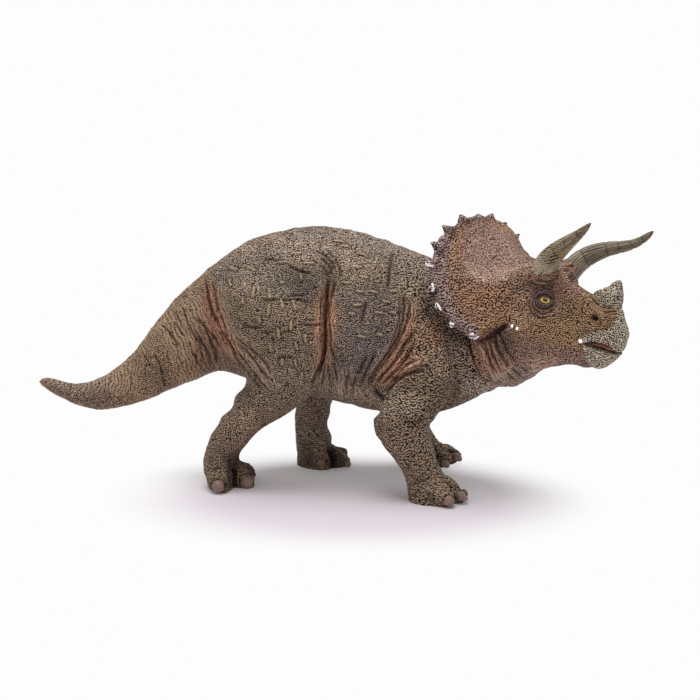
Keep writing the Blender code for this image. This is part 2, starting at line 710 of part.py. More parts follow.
def tail_plug(margin=0.0):
    place = TAIL_SEAM @ Matrix.Rotation(math.pi, 4, "Z")
    return plug(
        "plug", place, TAIL_PLUG_LENGTH, TAIL_PLUG_WIDTH, TAIL_PLUG_HEIGHT, PLUG_ROOT, margin
    )


def neck_plug(margin=0.0):
    return plug(
        "plug", NECK_SEAM, NECK_PLUG_LENGTH, NECK_PLUG_WIDTH, NECK_PLUG_HEIGHT, PLUG_ROOT, margin
    )


def jaw_plug(margin=0.0):
    x, z = JAW_PLUG_SHARES
    place = HEAD_PLACE @ Matrix.Translation((x * HEAD_LENGTH, 0, z * HEAD_DEPTH))
    return plug(
        "plug", place, JAW_PLUG_LENGTH, JAW_PLUG_WIDTH, JAW_PLUG_HEIGHT, PLUG_ROOT, margin
    )


def jaw_zone(name, opening, margin=0.0):
    """The space of the lower beak, whose mouth line sags below the upper one by an opening."""
    outline = [(x * HEAD_LENGTH, z * HEAD_DEPTH) for x, z in JAW_SHARES]
    for index in MOUTH_LINE:
        outline[index] = (outline[index][0], outline[index][1] - opening)
    outline = grow(outline, margin)
    return prism(name, outline, -HEAD_WIDTH, HEAD_WIDTH, HEAD_PLACE)


def fuse(piece, smoothing_steps, kept_share):
    """Melts overlapping masses into one smooth skin with few faces."""
    modify(piece, "REMESH", mode="VOXEL", voxel_size=SKIN_VOXEL)
    modify(piece, "SMOOTH", factor=SMOOTHING_SHARE, iterations=smoothing_steps)
    modify(piece, "DECIMATE", ratio=kept_share)


def make_body():
    mesh = bmesh.new()
    add_loft(mesh, trunk_rings())
    for _, _, shares, radius, nails in LEGS:
        add_leg(mesh, shares, radius, nails)
    body = make_object("body", mesh)
    fuse(body, SKIN_SMOOTHING_STEPS, BODY_KEPT_SHARE)
    reach = CUTTER_REACH
    sole = SOLE_CUT_HEIGHT
    cut(body, "INTERSECT", block("ground", (-reach, -reach, sole), (reach, reach, reach)))
    return body


def make_torso(body):
    """The two hollow halves of the torso, pinned together along the midline."""
    margin = PIECE_GAP / 2
    cut(body, "DIFFERENCE", tail_zone("tail_cut", PIECE_GAP))
    cut(body, "INTERSECT", half_space("neck_cut", NECK_SEAM, False, margin))
    cavity = bmesh.new()
    rear, front = CAVITY_REAR_SHARE * TRUNK_LENGTH, CAVITY_FRONT_SHARE * TRUNK_LENGTH
    add_loft(cavity, trunk_rings(SHELL_WALL, rear, front)[::2])
    cavity = make_object("cavity", cavity)
    for name, side, *_ in LEGS:
        floor, pocket, lower, _ = pocket_of(name)
        cut(body, "DIFFERENCE", leg_zone("zone", side, floor, pocket, lower, PIECE_GAP))
        outline = body_outline(pocket, True, SHELL_WALL)
        inner, outer = side * (floor - SHELL_WALL), side * CUTTER_REACH
        cut(cavity, "DIFFERENCE", prism("wall", outline, inner, outer, Matrix()))
    cut(body, "DIFFERENCE", cavity)
    for name, side, *_ in LEGS:
        cut(body, "DIFFERENCE", leg_plug(name, side, PIECE_GAP))
    cut(body, "DIFFERENCE", tail_plug(PIECE_GAP), neck_plug(PIECE_GAP))
    halves = []
    for name, side in (("torso_right_shell", -1), ("torso_left_shell", 1)):
        half = copy_of(body, name)
        place = Matrix.Rotation(side * math.pi / 2, 4, "Z")
        cut(half, "INTERSECT", half_space("half", place, True, margin))
        keep_largest(half)
        halves.append(half)
    bpy.data.objects.remove(body)
    right, left = halves
    for x, z in PIN_SHARES:
        place = Matrix.Translation(body_point(x, 0.0, z)) @ Matrix.Rotation(math.pi / 2, 4, "X")
        cut(left, "UNION", pin("pin", place, PIN_RADIUS, PIN_LENGTH, PLUG_ROOT))
        cut(right, "DIFFERENCE", pin(
            "hole", place, PIN_RADIUS + PIECE_GAP, PIN_LENGTH + PIECE_GAP, PLUG_ROOT
        ))
    return halves


def pin(name, place, radius, length, root):
    """A round pin along +Z of its frame, with a root that reaches back."""
    mesh = bmesh.new()
    middle = Matrix.Translation((0, 0, (length - root) / 2))
    bmesh.ops.create_cone(
        mesh, cap_ends=True, segments=HORN_SIDES, radius1=radius, radius2=radius,
        depth=length + root, matrix=place @ middle,
    )
    return make_object(name, mesh)


def make_legs(body):
    margin = PIECE_GAP / 2
    pieces = []
    for name, side, *_ in LEGS:
        floor, pocket, lower, _ = pocket_of(name)
        leg = copy_of(body, name)
        cut(leg, "INTERSECT", leg_zone("zone", side, floor, pocket, lower, 0.0))
        cut(leg, "DIFFERENCE", tail_zone("tail_cut", PIECE_GAP))
        cut(leg, "INTERSECT", half_space("neck_cut", NECK_SEAM, False, margin))
        keep_largest(leg)
        cut(leg, "UNION", leg_plug(name, side))
        pieces.append(leg)
    return pieces


def make_tail(body):
    tail = copy_of(body, "tail")
    cut(tail, "INTERSECT", tail_zone("tail_cut", 0.0))
    keep_largest(tail)
    cut(tail, "UNION", tail_plug())
    return tail


def make_head():
    """Skull, throat and frill as one skin, with seats for the horns and the jaw."""
    mesh = bmesh.new()
    add_loft(mesh, skull_rings())
    add_loft(mesh, trunk_rings(0.0, NECK_LOFT_START, TRUNK_LENGTH))
    add_frill(mesh)
    for side in (-1, 1):
        ahead, aside, above = CHEEK_SHARES
        add_ball(mesh, head_share_point(ahead, side * aside, above), [CHEEK_RADIUS] * 3)
        ahead, aside, above = BROW_SHARES
        add_ball(mesh, head_share_point(ahead, side * aside, above), [BROW_RADIUS] * 3)
    head = make_object("head", mesh)
    fuse(head, HEAD_SMOOTHING_STEPS, HEAD_KEPT_SHARE)
    behind = bmesh.new()
    add_loft(behind, trunk_rings(-FRILL_CLEARANCE))
    behind = make_object("behind", behind)
    cut(behind, "INTERSECT", half_space("neck_cut", NECK_SEAM, False, -PIECE_GAP / 2))
    cut(head, "DIFFERENCE", behind)
    keep_largest(head)
    cut(head, "UNION", frill_spikes(), neck_plug())
    jaw = copy_of(head, "lower_jaw")
    cut(jaw, "INTERSECT", jaw_zone("zone", MOUTH_OPENING))
    keep_largest(jaw)
    cut(jaw, "UNION", jaw_plug())
    cut(head, "DIFFERENCE", jaw_zone("zone", 0.0, PIECE_GAP), jaw_plug(PIECE_GAP))
    keep_largest(head)
    cut(head, "DIFFERENCE", *(
        brow_horn("seat", shares, PIECE_GAP)
        for shares in (BROW_HORN_RIGHT_SHARES, BROW_HORN_LEFT_SHARES)
    ))
    cut(head, "DIFFERENCE", nose_horn("seat", PIECE_GAP))
    keep_largest(head)
    return [head, jaw]


def make_horns():
    return [
        brow_horn("brow_horn_right", BROW_HORN_RIGHT_SHARES),
        brow_horn("brow_horn_left", BROW_HORN_LEFT_SHARES),
        nose_horn("nose_horn"),
    ]


def finish(piece, colour, roughness):
    """Gives a piece its own material and smooth shading."""
    material = bpy.data.materials.new(piece.name + "_plastic")
    material.use_nodes = True
    shader = material.node_tree.nodes["Principled BSDF"]
    shader.inputs["Base Color"].default_value = colour
    shader.inputs["Roughness"].default_value = roughness
    piece.data.materials.clear()
    piece.data.materials.append(material)
    piece.data.shade_smooth()


def stand_at_origin(pieces):
    """Carries all pieces on an empty that puts the middle of their footprint at the origin."""
    corners = [vert.co for piece in pieces for vert in piece.data.vertices]
    middle = Vector((
        (min(c.x for c in corners) + max(c.x for c in corners)) / 2,
        (min(c.y for c in corners) + max(c.y for c in corners)) / 2,
        SOLE_CUT_HEIGHT,
    ))
    figure = bpy.data.objects.new("figure", None)
    bpy.context.scene.collection.objects.link(figure)
    figure.location = -middle
    for piece in pieces:
        piece.parent = figure
    print("figure shift in metres:", tuple(round(value, 5) for value in figure.location))


def main():
    for old in list(bpy.data.objects):
        bpy.data.objects.remove(old)
    body = make_body()
    skins = make_legs(body) + [make_tail(body)]
    skins += make_torso(body)
    heads = make_head()
    horns = make_horns()
    for piece in skins:
        finish(piece, SKIN_COLOUR, SKIN_ROUGHNESS)
    for piece in heads:
        finish(piece, HEAD_COLOUR, SKIN_ROUGHNESS)
    for piece in horns:
        finish(piece, HORN_COLOUR, HORN_ROUGHNESS)
    stand_at_origin(skins + heads + horns)


main()
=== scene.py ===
"""Looks of a toy figure of a three-horned dinosaur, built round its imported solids.

Lengths are metres. The figure is shaped in the part's modelling frame, where the trunk's middle
stands over the origin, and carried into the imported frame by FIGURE_SHIFT at the end. The skin is
fused from the same masses as the solids, folded and wrinkled as height above a smooth surface,
painted by region, and cut along the same seams. Folds on the near side are placed by pixels of
the 700 by 700 photograph and mirrored to the far side.
"""

import math

import bmesh
import bpy
import numpy as np
from mathutils import Matrix, Vector
from mathutils.bvhtree import BVHTree
from mathutils.kdtree import KDTree

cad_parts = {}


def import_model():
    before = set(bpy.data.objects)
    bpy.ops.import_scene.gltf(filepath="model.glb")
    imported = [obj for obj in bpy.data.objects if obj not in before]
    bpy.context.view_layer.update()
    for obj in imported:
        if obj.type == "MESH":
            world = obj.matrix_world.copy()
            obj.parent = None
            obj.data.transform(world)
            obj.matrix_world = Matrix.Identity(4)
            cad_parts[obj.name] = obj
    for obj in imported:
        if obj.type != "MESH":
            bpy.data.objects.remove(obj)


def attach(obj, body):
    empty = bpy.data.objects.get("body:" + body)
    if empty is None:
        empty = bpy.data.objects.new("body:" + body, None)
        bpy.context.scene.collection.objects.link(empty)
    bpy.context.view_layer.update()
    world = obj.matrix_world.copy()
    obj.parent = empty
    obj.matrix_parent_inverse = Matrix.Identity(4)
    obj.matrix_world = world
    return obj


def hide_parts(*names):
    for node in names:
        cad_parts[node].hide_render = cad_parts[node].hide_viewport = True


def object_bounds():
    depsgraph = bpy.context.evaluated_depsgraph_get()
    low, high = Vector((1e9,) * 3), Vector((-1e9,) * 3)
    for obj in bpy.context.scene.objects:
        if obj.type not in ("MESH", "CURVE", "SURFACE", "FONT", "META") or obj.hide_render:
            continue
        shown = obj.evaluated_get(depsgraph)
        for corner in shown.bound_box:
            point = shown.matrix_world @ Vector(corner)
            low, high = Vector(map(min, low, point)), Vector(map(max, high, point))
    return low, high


# Camera, in the modelling frame
FIGURE_SHIFT = Vector((0.0041, 0.00647, -0.0015))
VIEW_AZIMUTH = math.radians(6)
VIEW_ELEVATION = math.radians(12)
VIEW_DISTANCE = 0.800
VIEW_TARGET = Vector((0, 0, 0.0481))
VIEW_LENS = 114.8
SENSOR_WIDTH = 36.0
PICTURE_PIXELS = 700
FOCAL_PIXELS = VIEW_LENS / SENSOR_WIDTH * PICTURE_PIXELS
GROUND_HEIGHT = 0.0015

# Overall sizes, as the solids have them
TRUNK_LENGTH = 0.100
TRUNK_WIDTH = 0.060
FIGURE_HEIGHT = 0.100
TAIL_LENGTH = 0.0665
LEG_RADIUS = 0.010
FOOT_REACH = 0.010
TOE_RADIUS = 0.0037
NAIL_RADIUS = 0.0026
HEAD_LENGTH = 0.050
HEAD_DEPTH = 0.040
HEAD_WIDTH = 0.040
HEAD_TURN = math.radians(-27)
CHEEK_RADIUS = 0.0042
BROW_RADIUS = 0.0058
NECK_LOFT_START = 0.030
FRILL_RISE_RADIUS = 0.0263
FRILL_SIDE_RADIUS = 0.0314
FRILL_HUB_RADIUS = 0.010
FRILL_TILT = math.radians(48.7)
FRILL_ROLL = math.radians(8)
FRILL_HALF_SWEEP = math.radians(117)
FRILL_SWEEP_BACK = 0.0085
FRILL_DROP = 0.0044
FRILL_CLEARANCE = 0.0012
FRILL_DISH = 0.0026
FRILL_RIM_THICKNESS = 0.0028
FRILL_HUB_THICKNESS = 0.0065
SPIKE_SIDES = 8
SPIKE_RADIUS = 0.0031
STUD_TURN_LIMIT = 117
STUD_MIRROR_TURN = math.radians(-90)
SPIKE_TIP_RADIUS = 0.0003
SPIKE_ROOT = 0.0013
BROW_HORN_LENGTH = 0.033
NOSE_HORN_WIDTH = 0.0066
HIP_POCKET_FLOOR = 0.0150
SHOULDER_POCKET_FLOOR = 0.0145
CUTTER_REACH = 0.200
SEAM_GAP = 0.00002
SHARP_ANGLE = math.radians(55)

# Meshing
COARSE_VOXEL = 0.0013
BODY_SMOOTHING_STEPS = 7
HEAD_SMOOTHING_STEPS = 3
SMOOTHING_SHARE = 0.5
BODY_VOXEL = 0.00040
HEAD_VOXEL = 0.00034
FINE_SMOOTHING_STEPS = 4
RING_POINTS = 32
SPAN_STEPS = 4
OUTLINE_STEPS = 6
WAIST_SHARE = 0.42
ARCH_POWER_SHARE = 1.12
BELLY_POWER_SHARE = 0.88
HORN_STEPS = 12
HORN_SIDES = 72
NOSE_HORN_STEPS = 8
NOSE_HORN_SIDES = 64
TONGUE_STEPS = 6
TONGUE_SIDES = 32

# Along the trunk: x of TRUNK_LENGTH, top and bottom of FIGURE_HEIGHT, half width and
# sideways place of TRUNK_WIDTH
TRUNK_SHARES = (
    (-0.467, 0.803, 0.400, 0.290, 0.0),
    (-0.360, 0.874, 0.375, 0.360, 0.0),
    (-0.250, 0.908, 0.338, 0.412, 0.0),
    (-0.120, 0.928, 0.313, 0.455, 0.0),
    (0.000, 0.916, 0.297, 0.482, 0.0),
    (0.100, 0.888, 0.268, 0.480, 0.0),
    (0.200, 0.853, 0.258, 0.450, 0.0),
    (0.300, 0.815, 0.264, 0.408, 0.0),
    (0.400, 0.775, 0.295, 0.350, 0.0),
    (0.500, 0.730, 0.350, 0.295, -0.015),
    (0.600, 0.690, 0.405, 0.250, -0.070),
)

# Along the tail: distance behind its root of TAIL_LENGTH, then as above
TAIL_ROOT_SHARE = -0.50
TAIL_SHARES = (
    (1.000, 0.331, 0.318, 0.010, 0.085),
    (0.952, 0.346, 0.301, 0.033, 0.082),
    (0.889, 0.341, 0.280, 0.055, 0.075),
    (0.778, 0.325, 0.250, 0.080, 0.063),
    (0.659, 0.345, 0.233, 0.104, 0.050),
    (0.540, 0.392, 0.242, 0.130, 0.040),
    (0.419, 0.468, 0.265, 0.155, 0.030),
    (0.302, 0.575, 0.298, 0.183, 0.020),
    (0.181, 0.669, 0.336, 0.213, 0.012),
    (0.063, 0.740, 0.368, 0.250, 0.005),
)

# Down each leg: x, y and z of the body's sizes, then the radii along X and Y of LEG_RADIUS
HIND_RIGHT_SHARES = (
    (-0.270, -0.150, 0.820, 0.70, 0.60),
    (-0.265, -0.217, 0.740, 1.55, 1.10),
    (-0.258, -0.262, 0.640, 1.85, 1.34),
    (-0.252, -0.290, 0.540, 1.86, 1.34),
    (-0.220, -0.308, 0.445, 1.44, 1.25),
    (-0.214, -0.317, 0.390, 1.34, 1.15),
    (-0.262, -0.325, 0.345, 1.32, 1.05),
    (-0.298, -0.333, 0.305, 1.18, 0.96),
    (-0.345, -0.333, 0.265, 1.03, 0.86),
    (-0.392, -0.333, 0.220, 0.86, 0.78),
    (-0.420, -0.330, 0.172, 0.75, 0.72),
    (-0.431, -0.327, 0.124, 0.72, 0.70),
    (-0.430, -0.327, 0.080, 0.75, 0.75),
    (-0.414, -0.327, 0.040, 0.78, 0.80),
    (-0.405, -0.327, -0.015, 0.74, 0.78),
)
HIND_LEFT_SHARES = (
    (-0.270, 0.150, 0.820, 0.70, 0.60),
    (-0.260, 0.217, 0.740, 1.55, 1.10),
    (-0.250, 0.262, 0.640, 1.85, 1.34),
    (-0.235, 0.290, 0.540, 1.78, 1.34),
    (-0.205, 0.300, 0.450, 1.50, 1.25),
    (-0.180, 0.292, 0.390, 1.25, 1.15),
    (-0.158, 0.283, 0.340, 1.00, 1.05),
    (-0.146, 0.275, 0.300, 0.84, 0.93),
    (-0.145, 0.267, 0.260, 0.71, 0.82),
    (-0.152, 0.263, 0.200, 0.68, 0.74),
    (-0.154, 0.260, 0.160, 0.68, 0.70),
    (-0.148, 0.258, 0.110, 0.71, 0.71),
    (-0.140, 0.258, 0.070, 0.75, 0.75),
    (-0.135, 0.258, 0.035, 0.78, 0.80),
    (-0.133, 0.258, -0.015, 0.80, 0.82),
)
FORE_RIGHT_SHARES = (
    (0.230, -0.200, 0.700, 0.60, 0.50),
    (0.243, -0.250, 0.630, 1.00, 0.84),
    (0.255, -0.292, 0.550, 1.25, 1.00),
    (0.255, -0.342, 0.460, 1.38, 1.13),
    (0.240, -0.383, 0.380, 1.33, 1.08),
    (0.223, -0.417, 0.320, 1.16, 1.00),
    (0.208, -0.437, 0.275, 0.99, 0.92),
    (0.222, -0.450, 0.225, 0.90, 0.84),
    (0.241, -0.458, 0.188, 0.84, 0.79),
    (0.261, -0.467, 0.153, 0.76, 0.73),
    (0.281, -0.470, 0.117, 0.71, 0.71),
    (0.300, -0.475, 0.082, 0.74, 0.75),
    (0.315, -0.475, 0.040, 0.82, 0.82),
    (0.320, -0.475, -0.015, 0.84, 0.84),
)
FORE_LEFT_SHARES = (
    (0.230, 0.200, 0.700, 0.60, 0.50),
    (0.243, 0.250, 0.630, 1.00, 0.84),
    (0.255, 0.283, 0.550, 1.25, 1.00),
    (0.255, 0.325, 0.460, 1.38, 1.13),
    (0.233, 0.350, 0.380, 1.30, 1.08),
    (0.210, 0.363, 0.320, 1.10, 1.00),
    (0.193, 0.370, 0.275, 0.95, 0.92),
    (0.188, 0.375, 0.220, 0.84, 0.84),
    (0.195, 0.375, 0.170, 0.74, 0.76),
    (0.215, 0.375, 0.125, 0.70, 0.72),
    (0.243, 0.375, 0.080, 0.74, 0.74),
    (0.263, 0.375, 0.040, 0.80, 0.80),
    (0.268, 0.375, -0.015, 0.82, 0.82),
)

# Nails as seen from above, of FOOT_REACH from the middle of the sole
HIND_RIGHT_NAIL_SHARES = ((-0.19, -0.73), (0.60, -0.10), (0.62, 0.58), (0.00, 0.84))
HIND_LEFT_NAIL_SHARES = ((0.20, -0.78), (0.96, -0.36), (0.86, 0.40), (0.10, 0.84))
FORE_RIGHT_NAIL_SHARES = ((0.50, -0.86), (1.02, -0.26), (0.80, 0.50))
FORE_LEFT_NAIL_SHARES = ((0.66, -0.76), (1.02, -0.06), (0.78, 0.62))
TOE_ROOT_SHARE = 0.35
TOE_STRETCH_SHARE = 0.62
TOE_HEIGHT_SHARE = 1.15
NAIL_HEIGHT_SHARE = 1.40

# Seams of the pieces, seen from the side
HIP_POCKET_SHARES = (
    (-0.38, 0.29), (-0.42, 0.41), (-0.475, 0.55), (-0.48, 0.68), (-0.40, 0.77), (-0.27, 0.805),
    (-0.13, 0.79), (-0.068, 0.70), (-0.064, 0.54), (-0.078, 0.37), (-0.20, 0.28),
)
SHOULDER_POCKET_SHARES = (
    (0.085, 0.24), (0.088, 0.36), (0.14, 0.50), (0.22, 0.61), (0.31, 0.63), (0.385, 0.56),
    (0.44, 0.46), (0.47, 0.35), (0.44, 0.24), (0.26, 0.20),
)
HIND_LOWER_SHARES = (
    (-0.56, -0.05), (-0.56, 0.26), (-0.43, 0.375), (-0.37, 0.345), (-0.25, 0.305), (-0.04, 0.28),
    (0.05, 0.24), (0.05, -0.05),
)
FORE_LOWER_SHARES = (
    (0.05, -0.05), (0.05, 0.22), (0.09, 0.25), (0.36, 0.245), (0.56, 0.22), (0.56, -0.05),
)
MIDLINE_CLEARANCE = 0.0015
TAIL_SEAM_SHARES = (-0.465, 0.573)
TAIL_SEAM_LEAN = math.radians(26.2)
TAIL_SEAM_RISE = 0.0350
TAIL_SEAM_FALL = 0.0186
TAIL_UNDERSIDE_SHARES = ((-0.41, 0.375), (-0.47, 0.33), (-0.56, 0.27), (-0.70, 0.20))
NECK_SEAM_SHARES = (0.485, 0.475)
NECK_SEAM_LEAN = math.radians(27.9)
NECK_BLEND_REACH = 0.006
NECK_BLEND_GAP = 0.0035
THROAT_HEIGHTS = (0.040, 0.036)
THROAT_GAPS = (0.0055, 0.0040)

# Along the head: place ahead of the head's origin of HEAD_LENGTH, top and bottom of
# HEAD_DEPTH, half width of HEAD_WIDTH
HEAD_ORIGIN_SHARES = (0.52, -0.05, 0.70)
HEAD_SHARES = (
    (-0.260, 0.130, -0.780, 0.340),
    (-0.100, 0.200, -0.905, 0.445),
    (0.060, 0.250, -0.860, 0.485),
    (0.160, 0.290, -0.815, 0.482),
    (0.260, 0.325, -0.735, 0.455),
    (0.370, 0.345, -0.625, 0.410),
    (0.490, 0.325, -0.575, 0.360),
    (0.570, 0.285, -0.550, 0.312),
    (0.645, 0.200, -0.530, 0.262),
    (0.700, 0.095, -0.545, 0.225),
    (0.760, 0.058, -0.560, 0.200),
    (0.820, 0.062, -0.550, 0.176),
    (0.892, 0.075, -0.508, 0.146),
    (0.955, 0.058, -0.445, 0.108),
    (0.985, -0.015, -0.412, 0.080),
    (1.005, -0.125, -0.370, 0.050),
    (1.015, -0.200, -0.320, 0.024),
)
CHEEK_SHARES = (0.38, 0.375, -0.19)
BROW_SHARES = (0.49, 0.205, 0.21)
FRILL_CENTRE_SHARES = (0.119, 0.170)
FRILL_HUB_SHARES = (0.340, 0.130)
FRILL_SPANS = 56
FRILL_RINGS = 12
BROW_HORN_RIGHT_SHARES = (
    (0.735, -0.235, 0.310), (0.795, -0.290, 0.460), (0.925, -0.370, 0.630),
    (1.165, -0.515, 0.780), (1.430, -0.667, 0.950),
)
BROW_HORN_LEFT_SHARES = (
    (0.735, 0.235, 0.260), (0.835, 0.300, 0.380), (1.015, 0.400, 0.462),
    (1.270, 0.530, 0.545), (1.530, 0.667, 0.705),
)
NOSE_HORN_SHARES = (0.856, 0.050)

# Hide relief
MAZE_WAVES = 2.0
MAZE_WAVE = 0.00066
PEBBLE_SHARE = 0.24
NOISE_SEED = 11
NOISE_TURNS = (0.61, 0.83)
NOISE_CELLS = 128
NOISE_WAVE_CELLS = 4.6
NOISE_BAND_SHARE = 0.20
LUMP_WAVE = 0.0017
LUMP_RELIEF_SHARE = 0.5
BODY_LUMP_HEIGHT = 0.00007
BODY_SWELL_WAVE = 0.006
BODY_SWELL_HEIGHT = 0.00012
HEAD_LUMP_HEIGHT = 0.00006
HEAD_SWELL_WAVE = 0.005
HEAD_SWELL_HEIGHT = 0.00010

# A fold runs out over a share of its length at both ends, between lips of a share of its depth
BRUSH_WIDTHS = 4
FOLD_END_SHARE = 0.16
FOLD_LIP_SHARE = 0.35

# Creases between toes, and rings round the nails by the nail's own radius
TOE_CREASE_LEVELS = 6
TOE_CREASE_START = 0.0012
TOE_CREASE_STEP = 0.0016
TOE_CREASE_WIDTH = 0.0009
TOE_CREASE_DEPTH = 0.0016
NAIL_RING_REACH_SHARE = 1.12
NAIL_RING_WIDTH_SHARE = 0.16
NAIL_RING_DEPTH = 0.0002
NAIL_RING_CREASE_SHARE = 0.8

# Heights where the wrinkles of the lower legs begin and end, and places ahead for pebbled hide
LOWER_LEG_TOPS = (0.018, 0.012)
LOWER_LEG_BOTTOMS = (0.005, 0.008)
LOWER_LEG_SPACING = 0.0013
LOWER_LEG_FLOW_SHARE = 0.45
LEG_FLOW_HEIGHTS = (0.034, 0.028)
PEBBLE_PLACES = (0.012, 0.024)

# Soft edges of the body's paint, as heights and as places ahead
TAIL_PAINT_PLACES = (-0.042, -0.062)
LEG_PAINT_HEIGHTS = (0.036, 0.026)
LEG_PAINT_PLACES = (-0.060, -0.050)
BODY_PATCH_HEIGHTS = (0.020, 0.034)
LEG_PATCH_HEIGHTS = (0.036, 0.028)
BAR_PAINT_SHARE = 0.7
BAR_EDGE_SHARES = (0.2, 0.6)
MOTTLE_WAVE = 0.020
MOTTLE_SHARE = 0.10
MOTTLE_LIMIT = 2

